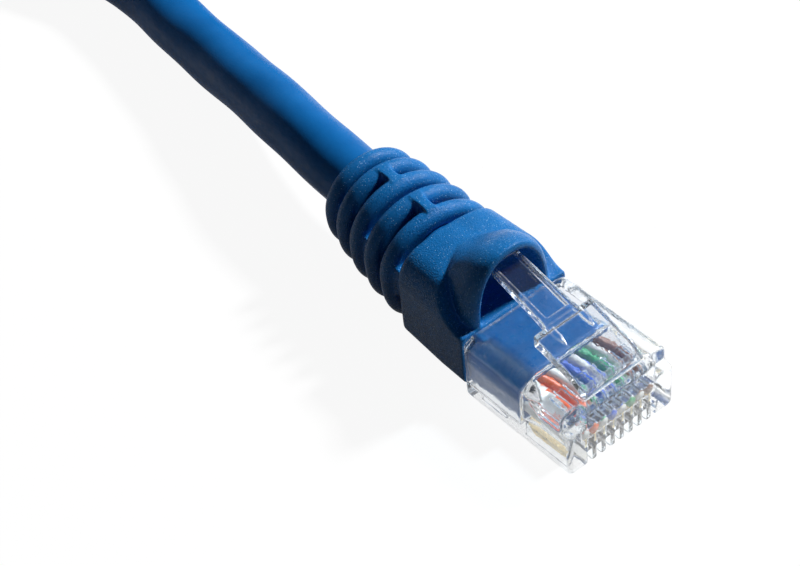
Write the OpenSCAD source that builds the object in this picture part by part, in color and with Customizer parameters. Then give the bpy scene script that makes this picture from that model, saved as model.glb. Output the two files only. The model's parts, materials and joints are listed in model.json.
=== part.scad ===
// Ethernet patch cable: two 8-way modular plugs with snagless boots, and the cord between them.
// Millimetres. +X is the way the near plug goes into its jack, +Z is the latch side.
// Each plug is drawn in its own frame: the nose at x = 0, the cord towards -X, the underside at z = 0.

/* [Housing] */
// Width of the plug housing
plug_w = 11.68; // [11.5:0.02:11.9]
// Length of the housing, nose to boot
plug_l = 12.7; // [12.2:0.1:13.5]
// Height of the housing
plug_h = 6.45; // [6.2:0.05:6.7]
// Width of the block in the middle of the nose
nose_w = 7.72; // [7:0.1:8.2]
// Height of the two ledges beside that block
ledge_h = 4.51; // [4.2:0.05:4.8]
// How far the housing stands back above the ledges
ledge_l = 0.91; // [0.6:0.05:1.4]
// Width of the slanted strip along each top edge
strip_w = 0.8; // [0.5:0.05:1]
// Drop of the slanted strip
strip_h = 0.5; // [0.3:0.05:0.7]
// Side walls of the rear cavity
side_wall = 0.72; // [0.6:0.02:0.9]
// Floor under the rear cavity
floor_t = 1; // [0.8:0.1:1.2]
// Roof over the rear cavity
roof_t = 0.95; // [0.8:0.05:1.1]
// Distance of the rear cavity's front wall behind the nose
cavity_front = 6; // [5.9:0.05:6.4]
// Width of the cord clamp's window in the underside
clamp_w = 7.4; // [6.6:0.1:8]
// Length of that window
clamp_l = 2.9; // [2.4:0.1:3.2]

/* [Contacts and wires] */
// Spacing of the eight contacts
pitch = 1.016; // [1:0.004:1.02]
// Width of the slots that make the comb
slot_w = 0.6; // [0.5:0.02:0.64]
// Height of the comb's teeth
comb_h = 1.6; // [1.3:0.05:1.8]
// Thickness of a contact blade
blade_t = 0.3; // [0.25:0.01:0.34]
// Height of the blades' lower edge above the underside
blade_z = 0.58; // [0.5:0.02:0.7]
// Diameter of an insulated wire
wire_d = 0.94; // [0.86:0.02:0.96]
// Height of the wires' centres in the housing
wire_z = 2.95; // [2.8:0.05:3.1]

/* [Latch] */
// Distance of the latch hinge behind the nose
hinge_back = 1.3; // [1.2:0.05:1.5]
// Height of the hinge above the housing's top
hinge_rise = 0.45; // [0.42:0.01:0.5]
// Radius of the hinge roll
roll_r = 0.55; // [0.5:0.01:0.6]
// Width of the latch at its shoulders
latch_w = 6.3; // [6:0.05:6.5]
// Width of the tail behind the shoulders
tail_w = 3.5; // [3.2:0.1:3.7]
// Width of the tail at its end
tail_end_w = 3.1; // [2.8:0.1:3.2]
// Distance of the shoulders behind the nose
shoulder_back = 6.8; // [6.6:0.05:7]
// Height of the shoulders above the underside
shoulder_z = 9.4; // [9.2:0.05:9.6]
// Distance of the tail's end behind the nose
tail_back = 14; // [13.6:0.1:14.1]
// Slope of the tail, degrees
tail_slope = 14.6; // [13.5:0.1:15]
// Thickness of the tail
tail_t = 0.85; // [0.7:0.05:0.95]
// Thickness of the latch at its shoulders
shoulder_t = 1.15; // [1:0.05:1.3]

/* [Boot] */
// Length of the boot's body
body_l = 8.5; // [7.9:0.1:8.8]
// Height of the body's highest line
body_top = 10.15; // [10:0.05:10.3]
// Radius of the domed top, seen from the plug
dome_r = 16; // [14:0.5:20]
// Radius of the corners between the dome and the flat sides
corner_r = 2.9; // [2:0.1:3.2]
// Height of the body's underside at the plug
body_low = 1.1; // [0.9:0.05:1.3]
// Width of the body at its rear end
body_rear_w = 11.2; // [10.6:0.1:11.4]
// Rise of the underside along the body
body_lift = 0.4; // [0:0.1:0.8]
// Height of the hood's lip
hood_top = 12.85; // [12.7:0.05:13]
// Half width of the hood's mouth
mouth_r = 3.5; // [3.4:0.05:3.55]
// Wall of the hood at its lip
hood_wall = 0.72; // [0.6:0.02:0.8]
// Height of the cord's centre in the boot
cord_z = 5.95; // [5.9:0.01:6]

/* [Strain relief] */
// Spacing of the rings
ring_pitch = 2.45; // [2.3:0.05:2.6]
// Thickness of a ring
ring_t = 1.4; // [1.2:0.05:1.6]
// Radius of the ring next to the body
ring_first_r = 5.9; // [5.6:0.05:5.9]
// Radius of the ring at the end
ring_last_r = 5.1; // [4.8:0.05:5.3]
// Space between the body and its nearest ring
ring_gap = 0.95; // [0.6:0.05:1.1]
// Width of the webs at the top and bottom of the relief
top_web_w = 1.6; // [1.2:0.1:2]
// Width of the webs at its sides
side_web_w = 2.6; // [2:0.1:4]
// How far the near strain relief bends aside, degrees
near_yaw = 4; // [0:0.5:5]

/* [Cord] */
// Outer diameter of the cord's jacket
cord_d = 6.3; // [5.8:0.1:6.4]
// Radius of the coil at the middle of its turns
coil_r = 32.5; // [31.5:0.5:37]
// Number of turns in the coil, half in each layer
coil_turns = 3.564; // [3.564:1:5.564]
// Space between turns that lie side by side
turn_gap = 0.5; // [0.45:0.01:0.8]
// Space between the coil's layers
layer_gap = 0.45; // [0.43:0.01:0.8]
// Length of the lead between the coil and the far plug
lead_l = 45; // [40:1:60]
// Width of the coil's tie
tie_w = 8; // [5:0.5:8]
// Thickness of the tie's strap
tie_t = 0.34; // [0.3:0.01:0.36]

/* [Clearances] */
// Moulded parts that sit in each other
fit = 0.05; // [0.03:0.01:0.08]
// The hinge roll in its saddle
hinge_fit = 0.1; // [0.08:0.01:0.15]
// The tie round the coil
tie_fit = 0.3; // [0.25:0.01:0.35]

/* [Hidden] */
$fn = 48;
PINS = 8;
RINGS = 5;

BIG = 100;      // reach of a cutting solid
EPS = 0.01;     // overlap of solids that are fused, and of cuts that break out

CLEAR = [0.85, 0.93, 1, 0.4];
BLUE = [0.08, 0.38, 0.7];
CORD_BLUE = [0.07, 0.34, 0.68];
GOLD = [0.9, 0.7, 0.25];
WIRE_COLOURS = [
    [0.98, 0.8, 0.7], [0.93, 0.35, 0.15], [0.8, 0.95, 0.82], [0.15, 0.35, 0.85],
    [0.78, 0.86, 0.98], [0.15, 0.6, 0.4], [0.9, 0.8, 0.74], [0.5, 0.28, 0.18]
];

// Places along the plug, measured back from the nose
hinge_z = plug_h + hinge_rise;
body_back = plug_l + body_l;
ring_step_back = body_back + ring_gap + ring_t / 2;
relief_back = ring_step_back + (RINGS - 1) * ring_pitch + ring_t / 2;
relief_l = relief_back - body_back;
cord_r = cord_d / 2;
bore_r = cord_r + fit;
nose_x = relief_back / 2;      // puts the origin under the middle of the near plug and its boot

function pin_y(i) = (i - (PINS - 1) / 2) * pitch;

// ---------------------------------------------------------------- helpers

// Extrudes an outline drawn as (y, z) along X, from x0 to x1
module along_x(x0, x1) {
    translate([x0, 0, 0]) rotate([90, 0, 90]) linear_extrude(x1 - x0) children();
}

// Extrudes an outline drawn as (x, z) along Y, w wide about the middle
module along_y(w) {
    translate([0, w / 2, 0]) rotate([90, 0, 0]) linear_extrude(w) children();
}

// A block from corner a to corner b
module block(a, b) {
    translate(a) cube(b - a);
}

// A rectangle from corner a to corner b with corners of radius r
module round_rect(a, b, r) {
    translate([a.x + r, a.y]) square([b.x - a.x - 2 * r, b.y - a.y]);
    translate([a.x, a.y + r]) square([b.x - a.x, b.y - a.y - 2 * r]);
    for (x = [a.x + r, b.x - r], y = [a.y + r, b.y - r])
        translate([x, y]) circle(r);
}

function unit(v) = v / norm(v);

// Direction of a route at point k
function heading(route, k) =
    unit(route[min(k + 1, len(route) - 1)] - route[max(k - 1, 0)]);

// One ring of a tube: the points round point k, with a flat side down
function tube_ring(route, k, r, sides) =
    let (t = heading(route, k), side = unit(cross([0, 0, 1], t)), up = cross(t, side))
    [for (j = [0:sides - 1])
        let (a = 360 * (j + 0.5) / sides - 90)
        route[k] + r * (cos(a) * side + sin(a) * up)];

// A closed skin over rings that all have n points: side faces, then the two ends
function skin_faces(rings, n) = concat(
    [for (k = [0:rings - 2], j = [0:n - 1]) let (m = (j + 1) % n)
        [k * n + j, (k + 1) * n + j, (k + 1) * n + m]],
    [for (k = [0:rings - 2], j = [0:n - 1]) let (m = (j + 1) % n)
        [k * n + j, (k + 1) * n + m, k * n + m]],
    [[for (j = [0:n - 1]) j]],
    [[for (j = [n - 1:-1:0]) (rings - 1) * n + j]]
);

// A tube of radius r along a route
module tube(route, r, sides) {
    points = [for (k = [0:len(route) - 1]) each tube_ring(route, k, r, sides)];
    polyhedron(points, skin_faces(len(route), sides), convexity = 10);
}

// ---------------------------------------------------------------- housing

cavity_w = plug_w - 2 * side_wall;
cavity_top = plug_h - roof_t;
channel_w = PINS * pitch + 0.08;
channel_h = wire_d + 0.16;
channel_front = 1.2;                     // the wires stop this far behind the nose
ramp_back = cavity_front - 0.2;          // where the ramp meets the cavity's floor
ramp_front = ramp_back - 1.7;
blade_front = 1.25;
blade_back = 5.6;
blade_slot_w = blade_t + 2 * 0.04;
clamp_back = plug_l - 1.4;               // rear edge of the clamp's window

module housing_profile() {
    w = plug_w / 2;
    low = 0.25;
    polygon([
        [-w + low, 0], [w - low, 0], [w, low], [w, plug_h - strip_h], [w - strip_w, plug_h],
        [-w + strip_w, plug_h], [-w, plug_h - strip_h], [-w, low]
    ]);
}

// The wire channel, with the ramp that leads the wires up into it
module channel_side() {
    half = channel_h / 2;
    polygon([
        [-channel_front, wire_z - half], [-ramp_front, wire_z - half],
        [-ramp_back - EPS, floor_t + 0.8], [-cavity_front - 1, floor_t + 0.8],
        [-cavity_front - 1, cavity_top - 0.6], [-ramp_back - EPS, cavity_top - 0.6],
        [-ramp_front, wire_z + half], [-channel_front, wire_z + half]
    ]);
}

module housing() color(CLEAR) difference() {
    along_x(-plug_l, 0) housing_profile();
    // ledges beside the nose block
    for (side = [-1, 1])
        translate([-ledge_l, side > 0 ? nose_w / 2 : -BIG - nose_w / 2, ledge_h]) cube(BIG);
    // bevel along the top of the nose block
    translate([0, 0, plug_h - 0.35]) rotate([0, -45, 0]) translate([0, -BIG / 2, 0]) cube(BIG);
    // rear cavity, channel and ramp
    along_x(-plug_l - 1, -cavity_front)
        round_rect([-cavity_w / 2, floor_t], [cavity_w / 2, cavity_top], 0.45);
    // window in the underside, where the cord clamp is pressed in
    along_y(clamp_w) polygon([
        [-clamp_back + clamp_l, -1], [-clamp_back + clamp_l, 0.2 * floor_t],
        [-clamp_back + 0.4, 0.7 * floor_t], [-clamp_back, 0.7 * floor_t], [-clamp_back, -1]
    ]);
    along_y(channel_w) channel_side();
    // comb slots, and the narrower slots that hold the blades
    for (i = [0:PINS - 1]) translate([0, pin_y(i), 0]) {
        block([-blade_back - 0.3, -slot_w / 2, -1], [1, slot_w / 2, comb_h]);
        block([-blade_back - fit, -blade_slot_w / 2, comb_h - EPS],
              [-blade_front + fit, blade_slot_w / 2, wire_z + channel_h / 2 + 0.25]);
    }
    // saddle of the latch's hinge
    translate([-hinge_back, 0, hinge_z]) rotate([90, 0, 0])
        cylinder(h = latch_w + 0.3, r = roll_r + hinge_fit, center = true);
}

// ---------------------------------------------------------------- contacts and wires

prong_w = 0.5;
prong_backs = [2.3, 4.4];
prong_top = wire_z + 0.4;
blade_top = wire_z - wire_d / 2 - 0.08;

// A blade with a rounded lower front corner and two prongs that pierce the wire
module contact(i) color(GOLD) translate([0, pin_y(i), 0]) along_y(blade_t) {
    nose_r = 0.6;
    translate([-blade_front - nose_r, blade_z + nose_r]) circle(nose_r);
    polygon([
        [-blade_front, blade_z + nose_r], [-blade_front, blade_top], [-blade_back, blade_top],
        [-blade_back, blade_z + 0.5], [-blade_back + 0.5, blade_z], [-blade_front - nose_r, blade_z]
    ]);
    for (back = prong_backs) polygon([
        [-back, blade_top - EPS], [-back, prong_top - 0.3], [-back - prong_w / 2, prong_top],
        [-back - prong_w, prong_top - 0.3], [-back - prong_w, blade_top - EPS]
    ]);
}

wire_front = channel_front + 0.08;
wire_bend = 7.5;                        // the wires leave the straight here
core_depth = 1.4;                       // how far the wires are drawn inside the jacket
jacket_front = body_back - 2.6;         // the jacket is stripped back to here
row_step = wire_d + 0.1;                // spacing of the wires where they enter the jacket
low_row_z = cord_z - 1.35;              // height of the lower of the two rows of four there

function ease(t) = let (s = max(0, min(1, t))) s * s * (3 - 2 * s);

// Every other wire first rises over its neighbours, then both rows draw together into the jacket
function wire_at(i, back, yaw) =
    let (row = i % 2, place = floor(i / 2) - 1.5)
    let (lift = ease((back - wire_bend) / (plug_l - wire_bend - 0.2)))
    let (gather = ease((back - plug_l + 0.2) / (jacket_front - plug_l + 0.2)))
    let (end_y = place * row_step - (body_back - jacket_front) * tan(yaw))
    [-back, pin_y(i) + (end_y - pin_y(i)) * gather,
     wire_z + row * row_step * lift + (low_row_z - wire_z) * gather];

// Distances behind the nose at which a wire's route has points
WIRE_STOPS = [
    wire_front, wire_bend,
    for (k = [1:4]) wire_bend + (plug_l - 0.2 - wire_bend) * k / 4,
    for (k = [1:4]) plug_l - 0.2 + (jacket_front - plug_l + 0.2) * k / 4,
    jacket_front + core_depth
];
WIRE_SIDES = 10;

// A wire grown by gap
module wire_tube(i, gap, yaw) {
    route = [for (back = WIRE_STOPS) wire_at(i, back, yaw)];
    tube(concat([route[0] + [gap, 0, 0]], [for (k = [1:len(route) - 1]) route[k]]),
         wire_d / 2 + gap, WIRE_SIDES);
}

module wire(i, yaw) color(WIRE_COLOURS[i]) difference() {
    wire_tube(i, 0, yaw);
    for (back = prong_backs)
        translate([-back - prong_w - 0.05, pin_y(i) - blade_t / 2 - 0.02, 0])
            cube([prong_w + 0.1, blade_t + 0.04, prong_top + 0.05]);
}

// ---------------------------------------------------------------- inner mould

mould_w = cavity_w - 2 * fit;
mould_front = cavity_front + 0.1;
mould_rear_w = 8.6;

// Side outline of the mould's rear part, which the boot is moulded over
module mould_rear_side(gap, yaw) {
    rear = jacket_front - cord_r * tan(yaw) - fit;      // clear of the jacket, which may lie aslant
    polygon([
        [-plug_l + 1, 1.9 - gap], [-plug_l + 1, cavity_top - fit], [-plug_l, cavity_top - fit + gap],
        [-rear - gap, cord_z + 0.3 + gap], [-rear - gap, 1.9 - gap]
    ]);
}

module inner_mould(yaw) color(BLUE) difference() {
    union() {
        along_x(-plug_l, -mould_front)
            round_rect([-mould_w / 2, floor_t + fit], [mould_w / 2, cavity_top - fit], 0.4);
        along_y(mould_rear_w) mould_rear_side(0, yaw);
    }
    for (i = [0:PINS - 1]) wire_tube(i, 0.02, yaw);
}

// ---------------------------------------------------------------- latch

// Top and bottom lines of the latch, at a distance back from the nose
function latch_front_z() = shoulder_z - (shoulder_back - 1.95) * tan(17.8);
function tail_z(back) = shoulder_z + tail_proud + (back - shoulder_back) * tan(tail_slope);
tail_proud = 0.03;      // the tail's top lies this far over the shoulders' edge
rib_w = 0.45;           // width of the two ribs along the tail's edges
rib_end = 4.7;          // the ribs run on over the wide part to here, and end in a point

module latch_side() {
    front_z = latch_front_z();
    polygon([
        [-hinge_back + 0.35, hinge_z + 0.35], [-1.95, front_z], [-shoulder_back, shoulder_z],
        [-shoulder_back, shoulder_z - shoulder_t], [-2.6, front_z - 0.62],
        [-hinge_back - 0.45, hinge_z - 0.2]
    ]);
    translate([-hinge_back, hinge_z]) circle(roll_r);
    start = shoulder_back - 0.6;
    polygon([
        [-start, shoulder_z - 0.35], [-shoulder_back, shoulder_z + tail_proud],
        [-tail_back, tail_z(tail_back)], [-tail_back, tail_z(tail_back) - tail_t + 0.15],
        [-shoulder_back, shoulder_z - tail_t], [-start, shoulder_z - shoulder_t + 0.3]
    ]);
}

// The front ends of the two edge ribs, on top of the wide part
module rib_ends() intersection() {
    along_y(latch_w) polygon([
        [-rib_end, tail_z(rib_end) - 0.02], [-shoulder_back - 0.3, tail_z(shoulder_back + 0.3) - 0.02],
        [-shoulder_back - 0.3, shoulder_z - 0.4], [-rib_end, tail_z(rib_end) - 0.5]
    ]);
    linear_extrude(BIG) for (side = [-1, 1]) polygon([
        [-shoulder_back - 0.3, side * (tail_w / 2 - 0.03)],
        [-shoulder_back - 0.3, side * (tail_w / 2 - rib_w)],
        [-rib_end - 0.9, side * (tail_w / 2 - rib_w)], [-rib_end, side * (tail_w / 2 - rib_w / 2)],
        [-rib_end - 0.9, side * (tail_w / 2 - 0.03)]
    ]);
}

module latch() color(CLEAR) difference() {
    union() {
        rib_ends();
        latch_blank();
    }
    // the sunk panel between the tail's two edge ribs
    translate([-shoulder_back, 0, shoulder_z - 0.2]) rotate([0, tail_slope, 0])
        block([-BIG, -tail_end_w / 2 + rib_w, 0], [-0.6, tail_end_w / 2 - rib_w, 2]);
}

module latch_blank() {
    intersection() {
        along_y(latch_w) latch_side();
        linear_extrude(BIG) polygon([
            [0, -latch_w / 2], [0, latch_w / 2], [-shoulder_back, latch_w / 2],
            [-shoulder_back, tail_w / 2], [-tail_back + 0.4, tail_end_w / 2],
            [-tail_back, tail_end_w / 2 - 0.4], [-tail_back, -tail_end_w / 2 + 0.4],
            [-tail_back + 0.4, -tail_end_w / 2], [-shoulder_back, -tail_w / 2],
            [-shoulder_back, -latch_w / 2]
        ]);
    }
}

// ---------------------------------------------------------------- boot

// Places on the body's outline, seen from the plug: the corner arcs run from the flat sides into
// the dome, and touch both
corner_y = plug_w / 2 - corner_r;
corner_z = body_top - dome_r + sqrt(pow(dome_r - corner_r, 2) - corner_y * corner_y);
corner_turn = asin(corner_y / (dome_r - corner_r));
low_r = 0.5;
wing_edge = 9.1;                            // height where the wings' slope meets the top
wing_slope = (wing_edge - plug_h) / 3.2;    // fall of the wings' top edge towards the plug

// Points on an arc round c, as (y, z), between two angles from the +Y side
function arc(c, r, from, to, steps) =
    [for (k = [0:steps]) let (a = from + (to - from) * k / steps) c + r * [cos(a), sin(a)]];

module body_profile() {
    w = plug_w / 2;
    polygon(concat(
        arc([w - low_r, body_low + low_r], low_r, -90, 0, 3),
        arc([corner_y, corner_z], corner_r, 0, 90 - corner_turn, 8),
        arc([0, body_top - dome_r], dome_r, 90 - 0.75 * corner_turn, 90 + 0.75 * corner_turn, 6),
        arc([-corner_y, corner_z], corner_r, 90 + corner_turn, 180, 8),
        arc([-w + low_r, body_low + low_r], low_r, 180, 270, 3)
    ));
}

module body() intersection() {
    along_x(-body_back, -plug_l) body_profile();
    linear_extrude(BIG) polygon([
        [-plug_l, -plug_w / 2], [-plug_l, plug_w / 2], [-plug_l - 3, plug_w / 2],
        [-body_back + 0.4, body_rear_w / 2], [-body_back, body_rear_w / 2 - 0.4],
        [-body_back, -body_rear_w / 2 + 0.4], [-body_back + 0.4, -body_rear_w / 2],
        [-plug_l - 3, -plug_w / 2]
    ]);
    along_y(BIG) polygon([
        [-plug_l, body_low], [-plug_l, plug_h], [-plug_l - 10, plug_h + 10 * wing_slope],
        [-body_back, 20], [-body_back, body_low + body_lift]
    ]);
}

// Cross sections of the hood: distance behind the plug, half width, top. The outside swells
// behind its lip and dies away on the body; the inside closes to a back wall.
HOOD_OUTSIDE = [
    [0, mouth_r + 0.35, hood_top - 0.3], [0.12, mouth_r + 0.52, hood_top - 0.08],
    [0.4, mouth_r + 0.76, hood_top], [0.9, mouth_r + 0.98, hood_top - 0.06],
    [1.4, mouth_r + 1.05, hood_top - 0.17], [2, mouth_r + 0.96, hood_top - 0.37],
    [2.6, mouth_r + 0.74, hood_top - 0.65], [3.2, mouth_r + 0.45, hood_top - 1.05],
    [3.8, mouth_r + 0.1, hood_top - 1.5], [4.4, mouth_r - 0.35, hood_top - 1.95],
    [5, mouth_r - 0.95, hood_top - 2.35], [5.7, mouth_r - 1.9, hood_top - 2.72]
];
hood_inside_top = hood_top - hood_wall;
HOOD_INSIDE = [
    [-1, mouth_r, hood_inside_top + 0.1], [0, mouth_r, hood_inside_top],
    [1, mouth_r - 0.05, hood_inside_top - 0.08], [1.7, mouth_r - 0.15, hood_inside_top - 0.25],
    [2.4, mouth_r - 0.35, hood_inside_top - 0.6], [3.1, mouth_r - 0.65, hood_inside_top - 1.3],
    [3.8, mouth_r - 1.1, hood_inside_top - 2.6]
];
HOOD_STEPS = 20;        // points over each arch
ARCH_POWER = 2.35;      // 2 is an ellipse; more squares the shoulders

// An arch over half width w from z0 to the top, at x, from the -Y side over to the +Y side
function arch(x, w, z0, top) = [for (j = [0:HOOD_STEPS])
    let (a = 180 * j / HOOD_STEPS, c = -cos(a), s = sin(a))
    [x, w * sign(c) * pow(abs(c), 2 / ARCH_POWER), z0 + (top - z0) * pow(max(s, 0), 2 / ARCH_POWER)]];

// Foot of the hood's outside: just under the wings' top edge, then under the body's top
function hood_foot(back) = min(plug_h + back * wing_slope, body_top - 0.6) - 0.35;

module hood_outside() {
    points = [for (s = HOOD_OUTSIDE) each arch(-plug_l - s[0], s[1], hood_foot(s[0]), s[2])];
    polyhedron(points, skin_faces(len(HOOD_OUTSIDE), HOOD_STEPS + 1), convexity = 6);
}

module hood_inside() {
    points = [for (s = HOOD_INSIDE) each arch(-plug_l - s[0], s[1], plug_h, s[2])];
    polyhedron(points, skin_faces(len(HOOD_INSIDE), HOOD_STEPS + 1), convexity = 6);
}

// A rounded disc on the strain relief's axis, which is drawn along +Z here; the bore is cut later
module ring(r) rotate_extrude() {
    translate([0, -ring_t / 2]) square([r - ring_t / 2, ring_t]);
    translate([r - ring_t / 2, 0]) circle(ring_t / 2, $fn = 32);
}

// A web across the gap between two rings; the bore makes two of it, on opposite sides
module web(z0, z1, r, w, turn) intersection() {
    translate([0, 0, z0]) cylinder(h = z1 - z0, r = r);
    rotate(turn) block([-BIG, -w / 2, z0], [BIG, w / 2, z1]);
}

// The rings get smaller towards the cord, the last ones most
function ring_r(k) = ring_first_r + (ring_last_r - ring_first_r) * pow(k / (RINGS - 1), 1.8);
function ring_at(k) = ring_step_back - body_back + k * ring_pitch;

// Draws its children on the cord's axis behind the body, with +Z towards the cord
module on_relief(yaw) {
    translate([-body_back, 0, cord_z]) rotate([0, 0, -yaw]) rotate([0, -90, 0]) children();
}

module strain_relief(yaw) on_relief(yaw) {
    for (k = [0:RINGS - 1]) translate([0, 0, ring_at(k)]) ring(ring_r(k));
    for (k = [0:2:RINGS - 1])
        web(k == 0 ? -0.6 : ring_at(k - 1), ring_at(k), ring_r(k) - 0.7, side_web_w, 90);
    for (k = [1:2:RINGS - 1])
        web(ring_at(k - 1), ring_at(k), ring_r(k) - 0.12, top_web_w, 0);
}

module boot(yaw) color(BLUE) difference() {
    union() {
        body();
        hood_outside();
        strain_relief(yaw);
    }
    hood_inside();
    along_y(mould_rear_w + 2 * fit) mould_rear_side(fit, yaw);
    // the bore starts in front of the jacket, whose end may lie aslant
    on_relief(yaw) translate([0, 0, -(body_back - jacket_front) - 2 * cord_r * tan(yaw) - 0.15])
        cylinder(h = relief_l + body_back, r = bore_r);
}

// ---------------------------------------------------------------- cord

// The jacket inside the boot, stripped at its front end where the wires come out
module jacket_end(yaw) color(CORD_BLUE) on_relief(yaw) difference() {
    inside = body_back - jacket_front;
    translate([0, 0, -inside]) cylinder(h = inside + relief_l, r = cord_r);
    translate([0, 0, -inside - 1]) cylinder(h = 1 + core_depth + 0.3, r = cord_r - 0.5);
}

// The free stretch: two points that leave the boot straight, then points chosen along the cord
relief_end = [
    nose_x - body_back - relief_l * cos(near_yaw), relief_l * sin(near_yaw), cord_z
];
relief_way = [-cos(near_yaw), sin(near_yaw), 0];
coil_start = [-77, 2.25, cord_r];
coil_way = [-cos(20), -sin(20), 0];
FREE_POINTS = [
    [-28.7, 2, 5.7], [-34.7, 2.85, 5], [-40.7, 3.65, 4.3], [-46.7, 4.35, 3.75],
    [-52.7, 5.05, 3.35], [-59.2, 5.8, 3.17], [-65.2, 5.8, 3.15]
];
CABLE_ROUTE = concat(
    [relief_end, relief_end + cord_d * relief_way],
    FREE_POINTS,
    [coil_start - cord_d * coil_way, coil_start]
);
CORD_SIDES = 10;

module cable() color(CORD_BLUE) tube(CABLE_ROUTE, cord_r, CORD_SIDES);

// The coil: clockwise from above, inwards in the lower layer and outwards in the upper one.
// It climbs in the half turn where the spiral reverses.
turn_step = cord_d + turn_gap;
layer_step = cord_d + layer_gap;
LOOP_STEPS = 24;
COIL_SIDES = 6;
coil_outer_r = coil_r + turn_step * coil_turns / 4;
coil_side = [coil_way.y, -coil_way.x, 0];       // from the cord towards the coil's centre
spiral_start = coil_start + cord_d * coil_way;
coil_centre = spiral_start + coil_outer_r * coil_side;
coil_steps = round(coil_turns * LOOP_STEPS);

function coil_radius(turns) = coil_outer_r - turn_step * min(turns, coil_turns - turns);
function coil_rise(turns) =
    layer_step * ease((turns - coil_turns / 2 + 0.25) / 0.5);
function coil_point(turns) =
    coil_centre + coil_radius(turns)
        * (sin(360 * turns) * coil_way - cos(360 * turns) * coil_side) + [0, 0, coil_rise(turns)];

coil_end = coil_point(coil_turns);
lead_way = cos(360 * coil_turns) * coil_way + sin(360 * coil_turns) * coil_side;
lead_start = coil_end + cord_d * lead_way;
COIL_ROUTE = concat(
    [coil_start],
    [for (k = [0:coil_steps]) coil_point(coil_turns * k / coil_steps)],
    [lead_start]
);

module coil() color(CORD_BLUE) tube(COIL_ROUTE, cord_r, COIL_SIDES);

// Least distance between points of the coil that are over a third of a turn apart, less the cord
coil_gap = min([for (a = [0:coil_steps], b = [a + 8:1:coil_steps])
    norm(COIL_ROUTE[a + 1] - COIL_ROUTE[b + 1])]) - cord_d;
echo(str("least gap between the coil's turns, mm: ", coil_gap));

// The lead from the coil down to the far plug: straight seen from above
far_relief_end = lead_start + lead_l * lead_way + [0, 0, cord_z - lead_start.z];
LEAD_STEPS = 8;
LEAD_ROUTE = concat(
    [lead_start],
    [for (k = [0:LEAD_STEPS])
        let (s = cord_d + (lead_l - 2 * cord_d) * k / LEAD_STEPS)
        lead_start + s * lead_way + [0, 0, (cord_z - lead_start.z) * ease(k / LEAD_STEPS)]],
    [far_relief_end]
);

module far_lead() color(CORD_BLUE) tube(LEAD_ROUTE, cord_r, CORD_SIDES);

// The tie goes round the coil a quarter turn from its start, where four turns lie in a stack
module coil_tie() {
    // straight sides of the tie stay clear of the loops' bend, and of the corners between their facets
    bow = coil_r * (1 - cos(180 / LOOP_STEPS)) + tie_w * tie_w / 8 / coil_radius(1.25);
    inner = min(coil_radius(1.25), coil_radius(2.25)) - cord_r - tie_fit - bow;
    outer = coil_radius(0.25) + cord_r + tie_fit;
    top = cord_d + layer_step + tie_fit;
    low_flat = cord_r * (1 - cos(180 / COIL_SIDES));
    color([0.12, 0.12, 0.13]) translate([coil_centre.x, coil_centre.y, 0])
        rotate(atan2(coil_way.y, coil_way.x)) along_y(tie_w) difference() {
            round_rect([inner - tie_t, 0], [outer + tie_t, top + tie_t], 2.5);
            round_rect([inner, min(tie_t, low_flat - 0.05)], [outer, top], 2.2);
        }
}

// ---------------------------------------------------------------- the two plugs

module near() translate([nose_x, 0, 0]) children();

module far() translate([far_relief_end.x, far_relief_end.y, 0])
    rotate(atan2(lead_way.y, lead_way.x)) translate([relief_back, 0, 0]) children();

near() housing();  // near_housing
near() latch();  // near_latch
near() inner_mould(near_yaw);  // near_inner_mould
near() boot(near_yaw);  // near_boot
near() jacket_end(near_yaw);  // near_jacket_end
near() contact(0);  // near_contact_1
near() contact(1);  // near_contact_2
near() contact(2);  // near_contact_3
near() contact(3);  // near_contact_4
near() contact(4);  // near_contact_5
near() contact(5);  // near_contact_6
near() contact(6);  // near_contact_7
near() contact(7);  // near_contact_8
near() wire(0, near_yaw);  // near_wire_1
near() wire(1, near_yaw);  // near_wire_2
near() wire(2, near_yaw);  // near_wire_3
near() wire(3, near_yaw);  // near_wire_4
near() wire(4, near_yaw);  // near_wire_5
near() wire(5, near_yaw);  // near_wire_6
near() wire(6, near_yaw);  // near_wire_7
near() wire(7, near_yaw);  // near_wire_8
far() housing();  // far_housing
far() latch();  // far_latch
far() inner_mould(0);  // far_inner_mould
far() boot(0);  // far_boot
far() jacket_end(0);  // far_jacket_end
far() contact(0);  // far_contact_1
far() contact(1);  // far_contact_2
far() contact(2);  // far_contact_3
far() contact(3);  // far_contact_4
far() contact(4);  // far_contact_5
far() contact(5);  // far_contact_6
far() contact(6);  // far_contact_7
far() contact(7);  // far_contact_8
far() wire(0, 0);  // far_wire_1
far() wire(1, 0);  // far_wire_2
far() wire(2, 0);  // far_wire_3
far() wire(3, 0);  // far_wire_4
far() wire(4, 0);  // far_wire_5
far() wire(5, 0);  // far_wire_6
far() wire(6, 0);  // far_wire_7
far() wire(7, 0);  // far_wire_8
cable();
coil();
far_lead();
coil_tie();
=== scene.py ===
"""Looks of the ethernet patch cable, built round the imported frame.

Sizes are in millimetres unless a name ends in _M.
"""
import json
import math
import bmesh
import bpy
import numpy as np
from mathutils import Matrix, Vector

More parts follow.
